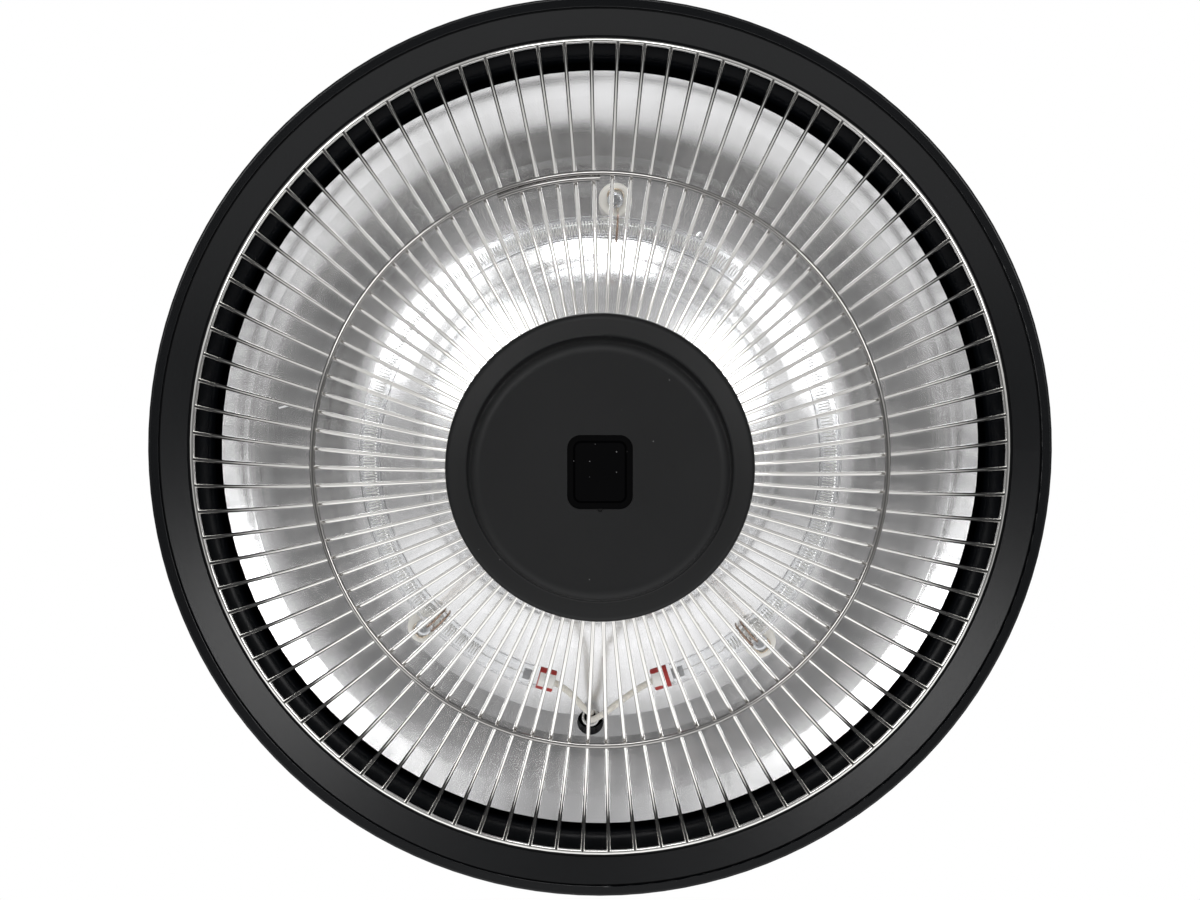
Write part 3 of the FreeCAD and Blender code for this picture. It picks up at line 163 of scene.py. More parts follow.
def noise(tree, place, scale, detail=2.0, roughness=0.5):
    inputs = {"Vector": place, "Scale": scale, "Detail": detail, "Roughness": roughness}
    return make_node(tree, "ShaderNodeTexNoise", inputs).outputs["Fac"]


def noise_swing(tree, place, scale, reach):
    """Noise that swings to both sides of zero."""
    return times(tree, minus(tree, noise(tree, place, scale), 0.5), reach)


def mixed(tree, factor, first, second):
    """Mixes two colours; the node's colour inputs go by number, as other inputs have the same names."""
    inputs = {0: factor, 6: first, 7: second}
    return make_node(tree, "ShaderNodeMix", inputs, data_type="RGBA").outputs[2]


def grey(value):
    return (value, value, value, 1)


def bumped(tree, height, distance, **under):
    """Normal of a surface with this height on it, over the normal that is given, if any."""
    bump = make_node(tree, "ShaderNodeBump", {"Height": height, "Distance": distance, "Strength": 1.0})
    feed_all(tree, bump, **under)
    return bump.outputs["Normal"]


def object_place(tree):
    return make_node(tree, "ShaderNodeTexCoord").outputs["Object"]


def outward(tree, place):
    """Level way from the heater's axis to a place."""
    return vector_node(tree, "MULTIPLY", place, (1, 1, 0))


def axis_distance(tree, place):
    inputs = {0: outward(tree, place)}
    return make_node(tree, "ShaderNodeVectorMath", inputs, operation="LENGTH").outputs["Value"]


def axis_angle(tree, place):
    parts = split(tree, place)
    return calculated(tree, "ARCTAN2", parts["Y"], parts["X"])


# Effects that materials share

def new_group(name, inputs, outputs):
    """Starts a shader node group; inputs are default values by name, and outputs are kinds by name."""
    group = bpy.data.node_groups.new(name, "ShaderNodeTree")
    for label, default in inputs.items():
        socket = group.interface.new_socket(label, in_out="INPUT", socket_type="NodeSocketFloat")
        socket.default_value = default
    for label, kind in outputs.items():
        group.interface.new_socket(label, in_out="OUTPUT", socket_type=f"NodeSocket{kind}")
    start = group.nodes.new("NodeGroupInput")
    end = group.nodes.new("NodeGroupOutput")
    return group, start.outputs, end


def use_group(tree, group, **inputs):
    node = make_node(tree, "ShaderNodeGroup", node_tree=group)
    feed_all(tree, node, **inputs)
    return node.outputs


def make_grain_group():
    """Fine texture of paint, plastic, ceramic or wire: a normal, a slow shade and a roughness."""
    group, given, end = new_group(
        "fine grain",
        {"Scale": 900.0, "Height": 0.00002, "Roughness": 0.5, "Spread": 0.1},
        {"Normal": "Vector", "Shade": "Float", "Roughness": "Float"})
    place = object_place(group)
    fine = noise(group, place, given["Scale"], detail=3.0, roughness=0.6)
    slow = noise(group, place, 14.0, detail=4.0, roughness=0.55)
    swing = minus(group, plus(group, fine, slow), 1.0)
    feed_all(
        group, end,
        Normal=bumped(group, fine, given["Height"]),
        Shade=between(group, slow, 0.3, 0.7, 0.9, 1.1),
        Roughness=plus(group, given["Roughness"], times(group, swing, given["Spread"]), clamp=True))
    return group


def make_dust_group():
    """Scattered specks: a mask that is 1 on a speck."""
    group, given, end = new_group("dust", {"Scale": 300.0, "Size": 0.1, "Amount": 0.4}, {"Mask": "Float"})
    inputs = {"Vector": object_place(group), "Scale": given["Scale"]}
    cells = make_node(group, "ShaderNodeTexVoronoi", inputs).outputs
    speck = calculated(group, "LESS_THAN", cells["Distance"], given["Size"])
    chance = make_node(group, "ShaderNodeSeparateColor", {"Color": cells["Color"]}).outputs[0]
    kept = calculated(group, "LESS_THAN", chance, given["Amount"])
    feed_all(group, end, Mask=times(group, speck, kept))
    return group


def make_spin_group():
    """Spun sheet: circular tool lines over a slight unevenness."""
    group, given, end = new_group(
        "spin lines",
        {"Pitch": 0.0009, "Height": 0.000002, "Wave": 0.00002, "Roughness": 0.2},
        {"Normal": "Vector", "Roughness": "Float", "Shade": "Float"})
    place = object_place(group)
    radius = axis_distance(group, place)
    ring = joined(group, divided(group, radius, given["Pitch"]))
    lines = noise(group, ring, 1.0, detail=3.0, roughness=0.65)
    waves_per_metre = 45.0
    waves_per_radian = 13.0
    across = times(group, radius, waves_per_metre)
    along = times(group, axis_angle(group, place), waves_per_radian)
    wave = noise(group, joined(group, across, along), 1.0, detail=2.0, roughness=0.45)
    cloud = noise(group, place, 18.0, detail=4.0, roughness=0.6)
    swing = between(group, times(group, lines, cloud), 0.1, 0.4, -0.05, 0.05)
    uneven = bumped(group, wave, given["Wave"])
    feed_all(
        group, end,
        Normal=bumped(group, lines, given["Height"], Normal=uneven),
        Roughness=plus(group, given["Roughness"], swing),
        Shade=between(group, cloud, 0.3, 0.7, 0.94, 1.02))
    return group


def make_braid_group():
    """Woven sleeving: crossing strands as a normal and a shade."""
    group, given, end = new_group(
        "braid", {"Scale": 900.0, "Height": 0.0002}, {"Normal": "Vector", "Shade": "Float"})
    place = object_place(group)
    strands = []
    for turn in (0.7, -0.7):
        slanted = turned(group, place, (1, 1, 0), turn)
        inputs = {"Vector": slanted, "Scale": given["Scale"], "Distortion": 0.4}
        wave = make_node(group, "ShaderNodeTexWave", inputs, wave_type="BANDS", bands_direction="Z")
        strands.append(wave.outputs["Fac"])
    weave = larger(group, *strands)
    feed_all(
        group, end,
        Normal=bumped(group, weave, given["Height"]),
        Shade=between(group, weave, 0.1, 0.9, 0.75, 1.0))
    return group


GRAIN = make_grain_group()
DUST = make_dust_group()
SPIN = make_spin_group()
BRAID = make_braid_group()


# Materials

def new_material(name):
    material = bpy.data.materials.new(name)
    material.use_nodes = True
    tree = material.node_tree
    tree.nodes.clear()
    surface = make_node(tree, "ShaderNodeBsdfPrincipled")
    output = make_node(tree, "ShaderNodeOutputMaterial", {"Surface": surface.outputs["BSDF"]})
    return material, tree, surface, output


def grained(name, colour, roughness, scale, height, metallic=0.0, spread=0.12, specular=0.5, dust=0.0):
    """Plastic, rubber, ceramic or plain metal with a fine grain and, if asked, some dust."""
    material, tree, surface, _ = new_material(name)
    grain = use_group(tree, GRAIN, Scale=scale, Height=height, Roughness=roughness, Spread=spread)
    shaded = scaled(tree, colour, grain["Shade"])
    if dust:
        specks = use_group(tree, DUST, Scale=420.0, Size=0.12, Amount=dust)
        shaded = mixed(tree, times(tree, specks["Mask"], 0.5), shaded, grey(0.2))
    feed_all(
        tree, surface, Base_Color=shaded, Normal=grain["Normal"], Roughness=grain["Roughness"],
        Metallic=metallic, Specular_IOR_Level=specular)
    return material


def make_black_enamel():
    """Satin enamel, with painted shade on the ledge inside the rim's step: a lower specular level there
    darkens that recess.
    """
    material, tree, surface, _ = new_material("black enamel")
    grain = use_group(tree, GRAIN, Scale=1500.0, Height=0.00002, Roughness=0.22, Spread=0.05)
    place = object_place(tree)
    # Painted shade: inside the rim's step and below the ledge's top the specular level falls from 0.3 to
    # 0.1, so the ledge looks shaded
    outside = between(tree, axis_distance(tree, place), STEP_RADIUS, STEP_RADIUS + STEP_WIDTH)
    above = between(tree, split(tree, place)["Z"], SHADED_LEDGE_TOP, SHADED_LEDGE_TOP + SHADED_LEDGE_FADE)
    outside_painted_shade = larger(tree, outside, above)
    feed_all(
        tree, surface, Base_Color=scaled(tree, (0.0014, 0.0018, 0.0025), grain["Shade"]),
        Normal=grain["Normal"], Roughness=grain["Roughness"],
        Specular_IOR_Level=between(tree, outside_painted_shade, 0.0, 1.0, 0.1, 0.3))
    return material


def make_spun_aluminium():
    """Bright spun sheet, whose gloss is blurred round the axis, with one short scratch on its dish."""
    material, tree, surface, _ = new_material("spun aluminium")
    spin = use_group(tree, SPIN, Pitch=0.0009, Height=0.000002, Wave=0.000012, Roughness=0.15)
    scratch_middle = (-0.1489, -0.0199, 0)
    scratch_turn = 0.25
    scratch_half_length = (0.0026, 0.003)
    scratch_half_width = (0.0002, 0.0005)
    scratch_roughness = 0.5
    place = object_place(tree)
    local = vector_node(tree, "SUBTRACT", place, scratch_middle)
    parts = split(tree, turned(tree, local, (0, 0, 1), scratch_turn))
    length = between(tree, magnitude(tree, parts["X"]), *scratch_half_length, 1.0, 0.0)
    width = between(tree, magnitude(tree, parts["Y"]), *scratch_half_width, 1.0, 0.0)
    scratch = times(tree, times(tree, length, width), scratch_roughness)
    round_axis = vector_node(
        tree, "CROSS_PRODUCT", (0, 0, 1), vector_node(tree, "NORMALIZE", outward(tree, place)))
    feed_all(
        tree, surface, Base_Color=scaled(tree, (0.86, 0.86, 0.87), spin["Shade"]), Normal=spin["Normal"],
        Roughness=plus(tree, spin["Roughness"], scratch), Tangent=round_axis, Metallic=1.0, Anisotropic=0.6)
    return material


def make_quartz():
    """Clear tube; shadow rays pass through it so that the coil is lit."""
    material, tree, surface, output = new_material("quartz")
    grain = use_group(tree, GRAIN, Scale=160.0, Height=0.00001, Roughness=0.02, Spread=0.02)
    feed_all(
        tree, surface, Base_Color=(0.98, 0.985, 0.99, 1), Normal=grain["Normal"],
        Roughness=grain["Roughness"], Transmission_Weight=1.0, IOR=1.12,
        Coat_Weight=1.0, Coat_Roughness=0.02, Coat_IOR=1.45)
    clear = make_node(tree, "ShaderNodeBsdfTransparent", {"Color": grey(0.95)})
    path = make_node(tree, "ShaderNodeLightPath")
    pick = make_node(tree, "ShaderNodeMixShader", {
        0: path.outputs["Is Shadow Ray"], 1: surface.outputs["BSDF"], 2: clear.outputs["BSDF"]})
    feed_all(tree, output, Surface=pick.outputs[0])
    return material


def make_braided(name, colour, scale):
    """Woven glass yarn that lets some light through."""
    material, tree, surface, _ = new_material(name)
    braid = use_group(tree, BRAID, Scale=scale, Height=0.0003)
    feed_all(
        tree, surface, Base_Color=scaled(tree, colour, braid["Shade"]), Normal=braid["Normal"],
        Roughness=0.85, Sheen_Weight=0.3, Subsurface_Weight=0.6,
        Subsurface_Radius=(1.0, 0.95, 0.85), Subsurface_Scale=0.003)
    return material


def make_plated_wire(name, colour):
    """Smooth plated wire of the guard."""
    material, tree, surface, _ = new_material(name)
    grain = use_group(tree, GRAIN, Scale=700.0, Height=0.000006, Roughness=0.08, Spread=0.06)
    feed_all(
        tree, surface, Base_Color=scaled(tree, colour, grain["Shade"]), Normal=grain["Normal"],
        Roughness=grain["Roughness"], Metallic=1.0)
    return material


def make_heated_spring():
    """Spring wire with heat colours that fade away from the lamp."""
    material, tree, surface, _ = new_material("heated spring wire")
    grain = use_group(tree, GRAIN, Scale=600.0, Height=0.00001, Roughness=0.26, Spread=0.12)
    bare_colour = (0.68, 0.66, 0.62, 1)
    straw_colour = (0.58, 0.47, 0.34, 1)
    brown_colour = (0.34, 0.25, 0.2, 1)
    cold_level = RIM_LEVEL - 0.002
    place = object_place(tree)
    near = between(tree, split(tree, place)["Z"], LAMP_LEVEL, cold_level, 1.0, 0.35)
    heat = plus(tree, near, noise_swing(tree, place, 160.0, 0.5), clamp=True)
    straw = mixed(tree, between(tree, heat, 0.1, 0.55), bare_colour, straw_colour)
    brown = mixed(tree, between(tree, heat, 0.55, 1.0), straw, brown_colour)
    feed_all(
        tree, surface, Base_Color=brown, Normal=grain["Normal"], Roughness=grain["Roughness"], Metallic=1.0)
    return material


def make_marked_ceramic():
    """White ceramic of the lamp's ends with red paint on the edges, closed on the side of the foil."""
    material, tree, surface, _ = new_material("marked ceramic")
    grain = use_group(tree, GRAIN, Scale=1200.0, Height=0.00002, Roughness=0.5, Spread=0.12)
    red_paint = (0.42, 0.03, 0.025, 1)
    bar_edge = (0.0031, 0.0034)
    bar_wobble = 0.001
    place = object_place(tree)
    angle = axis_angle(tree, place)
    off_middle = magnitude(tree, minus(tree, axis_distance(tree, place), LAMP_RADIUS))
    bars = between(tree, plus(tree, off_middle, noise_swing(tree, place, 420.0, bar_wobble)), *bar_edge)
    right_end = math.radians(LAMP_ANGLE - END_ANGLE)
    left_end = math.radians(LAMP_ANGLE + END_ANGLE)
    right_close = between(tree, angle, right_end + 0.018, right_end + 0.022, 1.0, 0.0)
    left_close = between(tree, angle, left_end - 0.007, left_end - 0.003)
    paint = larger(tree, bars, larger(tree, right_close, left_close))
    plain = scaled(tree, (0.84, 0.83, 0.8), grain["Shade"])
    feed_all(
        tree, surface, Base_Color=mixed(tree, paint, plain, red_paint), Normal=grain["Normal"],
        Roughness=grain["Roughness"])
    return material


MATERIALS = {
    "black_enamel": make_black_enamel(),
    "black_plastic": grained(
        "black plastic", (0.0042, 0.0044, 0.0048), roughness=0.48, scale=2200.0, height=0.00004,
        specular=0.25, dust=0.02),
    "gloss_black": grained(
        "gloss black", (0.0008, 0.0008, 0.001), roughness=0.05, scale=900.0, height=0.000001,
        spread=0.04, specular=0.2, dust=0.1),
    "bright_wire": make_plated_wire("bright wire", (0.74, 0.73, 0.71)),
    "spun_aluminium": make_spun_aluminium(),
    "zinc_steel": grained(
        "zinc steel", (0.6, 0.61, 0.63), roughness=0.28, scale=400.0, height=0.00001, metallic=1.0),
    "spring_steel": make_heated_spring(),
    "white_ceramic": grained(
        "white ceramic", (0.82, 0.8, 0.75), roughness=0.45, scale=1200.0, height=0.00002),
    "quartz": make_quartz(),
    "heating_wire": grained(
        "heating wire", (0.72, 0.71, 0.69), roughness=0.3, scale=900.0, height=0.00001, metallic=1.0),
    "foil": grained(
        "foil", (0.4, 0.4, 0.41), roughness=0.4, scale=500.0, height=0.00003, metallic=1.0),
    "white_braid": make_braided("white braid", (0.86, 0.85, 0.8), scale=260.0),
    "beige_insulation": make_braided("beige insulation", (0.84, 0.8, 0.72), scale=420.0),
    "black_rubber": grained(
        "black rubber", (0.02, 0.02, 0.02), roughness=0.75, scale=900.0, height=0.00003),
    "circuit_board": grained(
        "circuit board", (0.05, 0.2, 0.08), roughness=0.4, scale=300.0, height=0.00002),
    "white_nylon": grained(
        "white nylon", (0.6, 0.6, 0.57), roughness=0.5, scale=900.0, height=0.00002),
    "dark_lens": grained(
        "dark lens", (0.02, 0.012, 0.016), roughness=0.15, scale=900.0, height=0.000004),
}
MARKED_CERAMIC = make_marked_ceramic()
OWN_MATERIALS = {
    "lamp_end_left": MARKED_CERAMIC,
    "lamp_end_right": MARKED_CERAMIC,
    # Painted shade: the middle ring is the same plated wire as the spokes, given a darker base colour that
    # stands in for its darker reflections
    "guard_middle_ring": make_plated_wire("painted shade wire", (0.36, 0.35, 0.34)),
}
for part in frame["record"]["subparts"]:
    mesh = nodes[part["node"]].data
    mesh.materials.clear()
    mesh.materials.append(OWN_MATERIALS.get(part["node"], MATERIALS[part["material_slot"]]))


# Leads and cables: smooth lines through the routes of the solid model

def link_piece(name, data):
    piece = bpy.data.objects.new(name, data)
    bpy.context.scene.collection.objects.link(piece)
    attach(piece, HEATER)
    return piece


def make_cord(node, points, diameter, slot):
    """Round flexible lead along a smooth line, in place of a node, with both its ends in the heater."""
    line = bpy.data.curves.new(f"{node}_line", "CURVE")
    line.dimensions = "3D"
    line.bevel_depth = diameter / 2
    line.bevel_resolution = 6
    line.use_fill_caps = True
    line.materials.append(MATERIALS[slot])
    spline = line.splines.new("NURBS")
    spline.points.add(len(points) - 1)
    for control, spot in zip(spline.points, points):
        control.co = (*spot, 1)
    spline.use_endpoint_u = True
    spline.order_u = 3
    spline.resolution_u = 24
    piece = link_piece(f"{node}_line", line)
    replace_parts(piece, node)


# Each lamp lead: its side of the gap, its corner at the sleeve's mouth in millimetres, its length in metres
LAMP_LEADS = (
    ("lamp_lead_right", -1, 128.5, 0.4, -15.5, 0.104),
    ("lamp_lead_left", 1, 125.2, -0.4, -13.0, 0.093),
)

# Lamp terminal, board terminal and grommet, in millimetres
TERMINAL_LEVEL = 38.6
TERMINAL_OUT = 119.0
TERMINAL_BACK = 99
BOARD_LEVEL = 101.6
GROMMET_ASIDE = 36

for node, side, out, aside, height, length in LAMP_LEADS:
    end_angle = LAMP_ANGLE + END_ANGLE * side
    make_cord(node, [
        from_rim(end_angle, LAMP_OUT, -3 * side, -LAMP_DROP),
        from_rim(end_angle, LAMP_OUT, -12 * side, -LAMP_DROP),
        from_rim(SLEEVE_ANGLE, out, aside, height),
        from_rim(SLEEVE_ANGLE, out + 2, aside, TERMINAL_LEVEL),
        from_rim(SLEEVE_ANGLE, TERMINAL_OUT, 1.9 * side, TERMINAL_LEVEL),
    ], diameter=0.003, slot="beige_insulation")
make_cord("supply_cable", [
    from_rim(SLEEVE_ANGLE, TERMINAL_BACK, 0, TERMINAL_LEVEL),
    from_rim(SLEEVE_ANGLE, 66, 0, TERMINAL_LEVEL),
    from_rim(0, 0, GROMMET_ASIDE, 65.3),
    from_rim(0, 0, GROMMET_ASIDE, BOARD_LEVEL),
    from_rim(0, 0, -22, BOARD_LEVEL),
], diameter=0.006, slot="black_rubber")
make_cord("receiver_lead", [
    from_rim(0, 0, 0, -90),
    from_rim(0, 0.6, 0.3, -62),
    from_rim(0, -0.5, 0.5, -26),
    from_rim(0, 0.4, -0.5, 9),
    from_rim(0, 0, 0, 37.6),
], diameter=0.004, slot="black_rubber")


# Geometry nodes: the lamp's coil and the woven sleeve

WIRE_SIDES = 6


def new_shape_tree(name, inputs):
    """Starts a geometry node tree; gives its inputs, and their identifiers by name."""
    tree = bpy.data.node_groups.new(name, "GeometryNodeTree")
    tree.interface.new_socket("Geometry", in_out="OUTPUT", socket_type="NodeSocketGeometry")
    identifiers = {}
    for label, kind in inputs.items():
        socket = tree.interface.new_socket(label, in_out="INPUT", socket_type=f"NodeSocket{kind}")
        identifiers[label] = socket.identifier
    return tree, tree.nodes.new("NodeGroupInput").outputs, identifiers


def end_shape_tree(tree, shapes, material):
    """Joins the shapes as plain geometry of one material."""
    whole = tree.nodes.new("GeometryNodeJoinGeometry")
    for shape in shapes:
        tree.links.new(shape, whole.inputs["Geometry"])
    real = make_node(tree, "GeometryNodeRealizeInstances", {"Geometry": whole.outputs["Geometry"]})
    coated = make_node(
        tree, "GeometryNodeSetMaterial", {"Geometry": real.outputs["Geometry"], "Material": material})
    make_node(tree, "NodeGroupOutput", {"Geometry": coated.outputs["Geometry"]})


def dense_line(tree, count):
    line = make_node(tree, "GeometryNodeCurvePrimitiveLine").outputs["Curve"]
    return make_node(tree, "GeometryNodeResampleCurve", {"Curve": line, "Count": count}).outputs["Curve"]


def share_along(tree):
    return make_node(tree, "GeometryNodeSplineParameter").outputs["Factor"]


def round_spot(tree, reach, angle, height):
    """Point at a distance from an upright axis, an angle round it and a height."""
    x = times(tree, reach, calculated(tree, "COSINE", angle))
    y = times(tree, reach, calculated(tree, "SINE", angle))
    return joined(tree, x, y, height)


def wire_through(tree, line, spots, radius):
    """Round wire along a line whose points are moved to the given spots."""
    placed = make_node(tree, "GeometryNodeSetPosition", {"Geometry": line, "Position": spots})
    section = make_node(
        tree, "GeometryNodeCurvePrimitiveCircle", {"Resolution": WIRE_SIDES, "Radius": radius})
    wire = make_node(tree, "GeometryNodeCurveToMesh", {
        "Curve": placed.outputs["Geometry"], "Profile Curve": section.outputs["Curve"], "Fill Caps": True})
    return wire.outputs["Mesh"]


def make_winding_tree():
    """One wire between two angles of a ring, wound in close, slightly uneven turns, with plain ends.

    The turns open from nothing to the coil's radius near the inner end of each plain end, its lead.
    """
    tree, given, identifiers = new_shape_tree("winding", {
        "Turns": "Int", "Points per turn": "Int", "Ring radius": "Float", "Coil radius": "Float",
        "Wire radius": "Float", "Start": "Float", "End": "Float", "Lead": "Float", "Sway": "Float",
        "Sways per radian": "Float", "Height": "Float", "Wire": "Material"})
    line = dense_line(tree, times(tree, given["Turns"], given["Points per turn"]))
    along = share_along(tree)
    span = minus(tree, given["End"], given["Start"])
    lead = divided(tree, given["Lead"], span)
    angle = plus(tree, given["Start"], times(tree, span, along))
    steady = times(tree, between(tree, along, lead, minus(tree, 1.0, lead)), given["Turns"])
    sway_place = joined(tree, times(tree, angle, given["Sways per radian"]))
    wind = times(tree, plus(tree, steady, noise_swing(tree, sway_place, 1.0, given["Sway"])), math.tau)
    opens_at = 0.92
    full_at = 1.07
    from_end = calculated(tree, "MINIMUM", along, minus(tree, 1.0, along))
    opened = between(tree, from_end, times(tree, lead, opens_at), times(tree, lead, full_at))
    coil = times(tree, given["Coil radius"], opened)
    reach = minus(tree, given["Ring radius"], times(tree, coil, calculated(tree, "COSINE", wind)))
    level = plus(tree, given["Height"], times(tree, coil, calculated(tree, "SINE", wind)))
    wire = wire_through(tree, line, round_spot(tree, reach, angle, level), given["Wire radius"])
    end_shape_tree(tree, [wire], given["Wire"])
    return tree, identifiers


def make_sleeve_tree():
    """Tube of strands that are wound both ways and pass over and under each other."""
    tree, given, identifiers = new_shape_tree("woven sleeve", {
        "Strands": "Int", "Points": "Int", "Radius": "Float", "Wave": "Float", "Strand radius": "Float",
        "Length": "Float", "Turns": "Float", "Place": "Vector", "Lean": "Vector", "Lean share": "Float",
        "Yarn": "Material"})
    shapes = []
    for way in (1, -1):
        line = dense_line(tree, given["Points"])
        copies = make_node(
            tree, "GeometryNodeDuplicateElements", {"Geometry": line, "Amount": given["Strands"]},
            domain="SPLINE").outputs
        along = share_along(tree)
        first = divided(tree, copies["Duplicate Index"], given["Strands"])
        wound = times(tree, along, given["Turns"])
        angle = times(tree, plus(tree, first, times(tree, wound, way)), math.tau)
        crossing = times(tree, times(tree, wound, given["Strands"]), math.tau)
        rise = times(tree, calculated(tree, "COSINE", crossing), way)
        reach = plus(tree, given["Radius"], times(tree, rise, given["Wave"]))
        spot = round_spot(tree, reach, angle, times(tree, along, given["Length"]))
        free = minus(tree, 1.0, divided(tree, along, given["Lean share"]), clamp=True)
        lean = scaled(tree, given["Lean"], times(tree, free, free))
        base = vector_node(tree, "ADD", given["Place"], lean)
        spots = vector_node(tree, "ADD", spot, base)
        shapes.append(wire_through(tree, copies["Geometry"], spots, given["Strand radius"]))
    end_shape_tree(tree, shapes, given["Yarn"])
    return tree, identifiers


def mesh_from_tree(name, tree, identifiers, values):
    """Runs a geometry node tree with the given inputs and keeps the result as a plain mesh."""
    holder = bpy.data.objects.new(name, bpy.data.meshes.new(name))
    bpy.context.scene.collection.objects.link(holder)
    modifier = holder.modifiers.new(name, "NODES")
    modifier.node_group = tree
    for label, value in values.items():
        modifier[identifiers[label]] = value
    bpy.context.view_layer.update()
    graph = bpy.context.evaluated_depsgraph_get()
    mesh = bpy.data.meshes.new_from_object(holder.evaluated_get(graph))
    mesh.name = name
    mesh.shade_smooth()
    bpy.data.objects.remove(holder)
    return mesh


coil_mesh = mesh_from_tree("lamp_coil_wire", *make_winding_tree(), {
    "Turns": 390,
    "Points per turn": 14,
    "Ring radius": LAMP_RADIUS,
    "Coil radius": 0.00285,
    "Wire radius": 0.00022,
    "Start": math.radians(LAMP_ANGLE + FOIL_ANGLE),
    "End": math.radians(LAMP_ANGLE + 360 - FOIL_ANGLE),
    "Lead": math.radians(COIL_ANGLE - FOIL_ANGLE),
    "Sway": 2.0,
    "Sways per radian": 16.0,
    "Height": LAMP_LEVEL,
    "Wire": MATERIALS["heating_wire"],
})
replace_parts(link_piece("lamp_coil_wire", coil_mesh), "lamp_coil")

SLEEVE_SHIFT = 0.0008
SLEEVE_LEAN = 0.002
SLEEVE_TRIM = 0.0004
sleeve_low, sleeve_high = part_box("lead_sleeve")
sleeve_inward = Matrix.Rotation(math.radians(SLEEVE_ANGLE), 3, "Z") @ Vector((-1, 0, 0))
sleeve_foot = (Vector(sleeve_low) + Vector(sleeve_high)) / 2 + SLEEVE_SHIFT * sleeve_inward
sleeve_foot.z = sleeve_low[2] + SLEEVE_TRIM
sleeve_mesh = mesh_from_tree("lead_sleeve_weave", *make_sleeve_tree(), {
    "Strands": 18,
    "Points": 90,
    "Radius": 0.0036,
    "Wave": 0.0002,
    "Strand radius": 0.00034,
    "Length": sleeve_high[2] - sleeve_low[2] - 2 * SLEEVE_TRIM,
    "Turns": 1.3,
    "Place": sleeve_foot,
    "Lean": SLEEVE_LEAN * sleeve_inward,
    "Lean share": 0.35,
    "Yarn": MATERIALS["white_braid"],
})
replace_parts(link_piece("lead_sleeve_weave", sleeve_mesh), "lead_sleeve")


# Camera below the heater, a little to one side of its axis

VIEW_DISTANCE = 2.0
VIEW_TILT = math.radians(5.6)
SENSOR_WIDTH = 36.0
LENS_LENGTH = 127.4
rim_centre = Vector((0, 0, RIM_LEVEL))
camera_data = bpy.data.cameras.new("camera")
camera_data.sensor_width = SENSOR_WIDTH
camera_data.lens = LENS_LENGTH
camera = bpy.data.objects.new("camera", camera_data)
bpy.context.scene.collection.objects.link(camera)
forward = Vector((0, math.sin(VIEW_TILT), math.cos(VIEW_TILT)))
right = Vector((1, 0, 0))
up = right.cross(forward)
stand = Matrix.Translation(rim_centre - VIEW_DISTANCE * forward)
camera.matrix_world = stand @ Matrix((right, up, -forward)).transposed().to_4x4()
bpy.context.scene.camera = camera


# Studio: three soft boxes, and across from them a white table, which the reflector mirrors

PANEL_GAP = 0.002
BOX_DISTANCE = 1.6
BOX_BRIGHTNESS = 6.0
NARROW_GLOW = ((0.06, 0.4), (0.14, 0.2))
WIDE_GLOW = (
    (0.03, 0.14), (0.07, 0.13), (0.12, 0.12), (0.18, 0.11), (0.26, 0.11),
    (0.36, 0.1), (0.48, 0.09), (0.64, 0.08), (0.85, 0.08))
TABLE_DISTANCE = 0.5
TABLE_WIDTH = 1.5
TABLE_WIDENING = 0.1
TABLE_BRIGHTNESS = 0.82
TABLE_LENGTHS = (1.05, 1.4, 1.7, 1.95, 2.2, 2.45)


def lit_panel(name, place, facing, size, brightness):
    """Area light given by its brightness, which is its power per area and per pi."""
    light = bpy.data.lights.new(name, "AREA")
    light.shape = "RECTANGLE"
    light.size, light.size_y = size
    light.energy = brightness * math.pi * size[0] * size[1]
    panel = bpy.data.objects.new(name, light)
    bpy.context.scene.collection.objects.link(panel)
    panel.location = place
    panel.rotation_euler = facing.to_track_quat("-Z", "Y").to_euler()


def soft_box(name, turn, tilt, size, glow):
    """Soft box at a turn round the heater's axis and a tilt off it, in degrees, facing the rim's centre.

    Its glow is a list of fainter and larger panels behind it, each with its margin and brightness.
    """
    turn, tilt = math.radians(turn), math.radians(tilt)
    way = Vector((math.sin(tilt) * math.cos(turn), math.sin(tilt) * math.sin(turn), -math.cos(tilt)))
    for step, (margin, brightness) in enumerate(((0.0, BOX_BRIGHTNESS), *glow)):
        place = rim_centre + (BOX_DISTANCE + PANEL_GAP * step) * way
        lit_panel(f"{name} {step}", place, -way, (size[0] + margin, size[1] + margin), brightness)


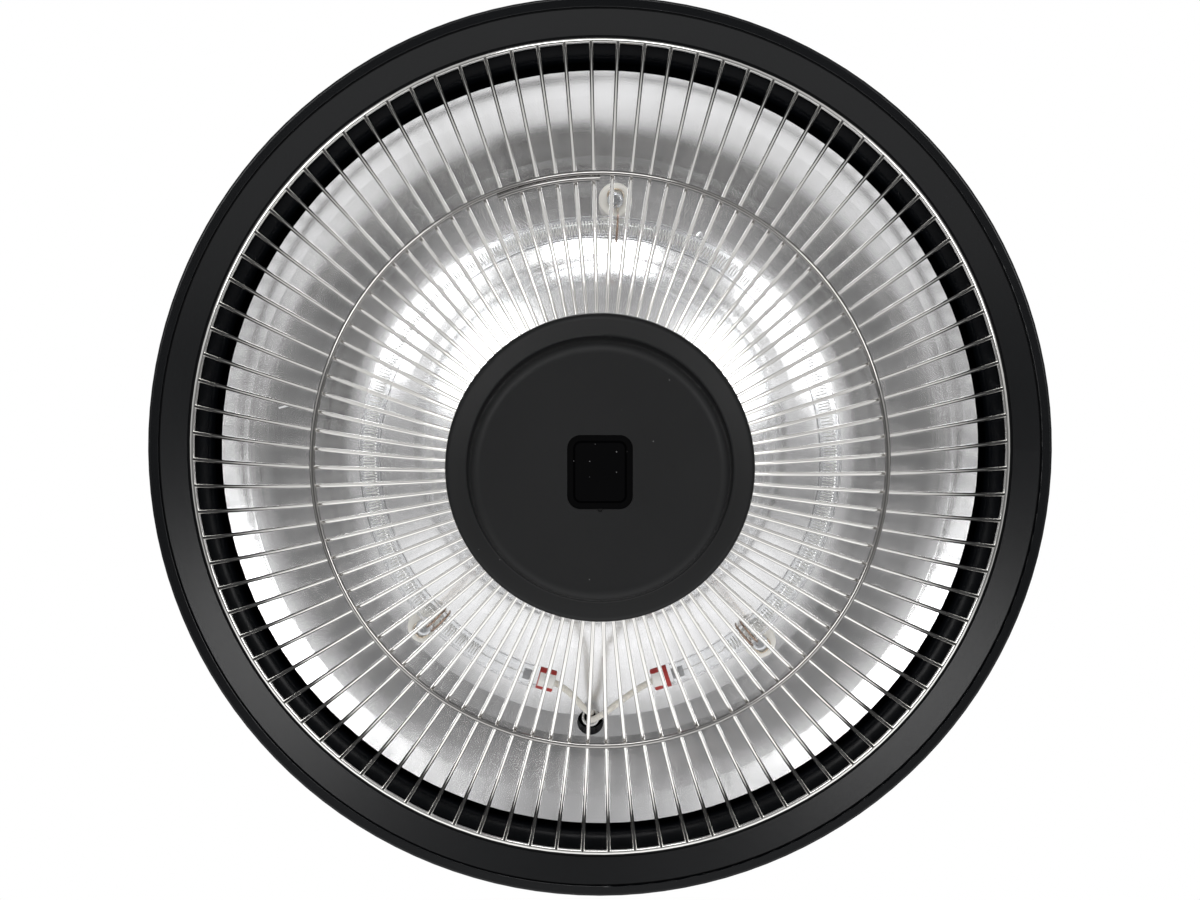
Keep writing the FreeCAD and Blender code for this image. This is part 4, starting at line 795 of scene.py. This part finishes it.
soft_box("soft box top left", 211, 32, (0.56, 0.4), WIDE_GLOW)
soft_box("soft box top", 270, 42, (0.6, 0.32), NARROW_GLOW)
soft_box("soft box top right", 336, 32, (0.52, 0.4), WIDE_GLOW)

# The table is a stack of panels of growing length, so that its far end fades out
for step, length in enumerate(TABLE_LENGTHS):
    place = rim_centre + Vector((0, TABLE_DISTANCE + PANEL_GAP * step, -length / 2))
    size = (TABLE_WIDTH + TABLE_WIDENING * step, length)
    lit_panel(f"white table {step}", place, Vector((0, -1, 0)), size, TABLE_BRIGHTNESS / len(TABLE_LENGTHS))


# Surroundings: plain white for the camera, and for the rest a room lit by the angle off the axis below

world = bpy.data.worlds.new("white studio")
bpy.context.scene.world = world
world.use_nodes = True
sky = world.node_tree
sky.nodes.clear()
way = make_node(sky, "ShaderNodeTexCoord").outputs["Generated"]
below = make_node(sky, "ShaderNodeVectorMath", {0: way, 1: (0, 0, -1)}, operation="DOT_PRODUCT")
off_axis = calculated(sky, "ARCCOSINE", below.outputs["Value"])


def by_angle(low, high, at_low, at_high):
    """Brightness that changes between two angles off the axis, in degrees."""
    return between(sky, off_axis, math.radians(low), math.radians(high), at_low, at_high)


dim_middle = between(sky, split(sky, way)["Y"], -0.12, 0.1, 0.24, 0.13)
wider = by_angle(20, 42, 0.0, 0.12)
bright_sides = by_angle(44, 56, 0.0, 0.4)
dark_behind = by_angle(86, 96, 1.0, 0.05)
above = by_angle(112, 140, 0.0, 0.7)
front = plus(sky, dim_middle, plus(sky, wider, bright_sides))
room_light = plus(sky, times(sky, front, dark_behind), above)
room = make_node(sky, "ShaderNodeBackground", {"Color": grey(1.0), "Strength": room_light})
seen = make_node(sky, "ShaderNodeBackground", {"Color": grey(1.0), "Strength": 1.0})
paths = make_node(sky, "ShaderNodeLightPath")
choice = make_node(sky, "ShaderNodeMixShader", {
    0: paths.outputs["Is Camera Ray"], 1: room.outputs[0], 2: seen.outputs[0]})
make_node(sky, "ShaderNodeOutputWorld", {"Surface": choice.outputs[0]})
bpy.context.scene.view_settings.view_transform = "Standard"
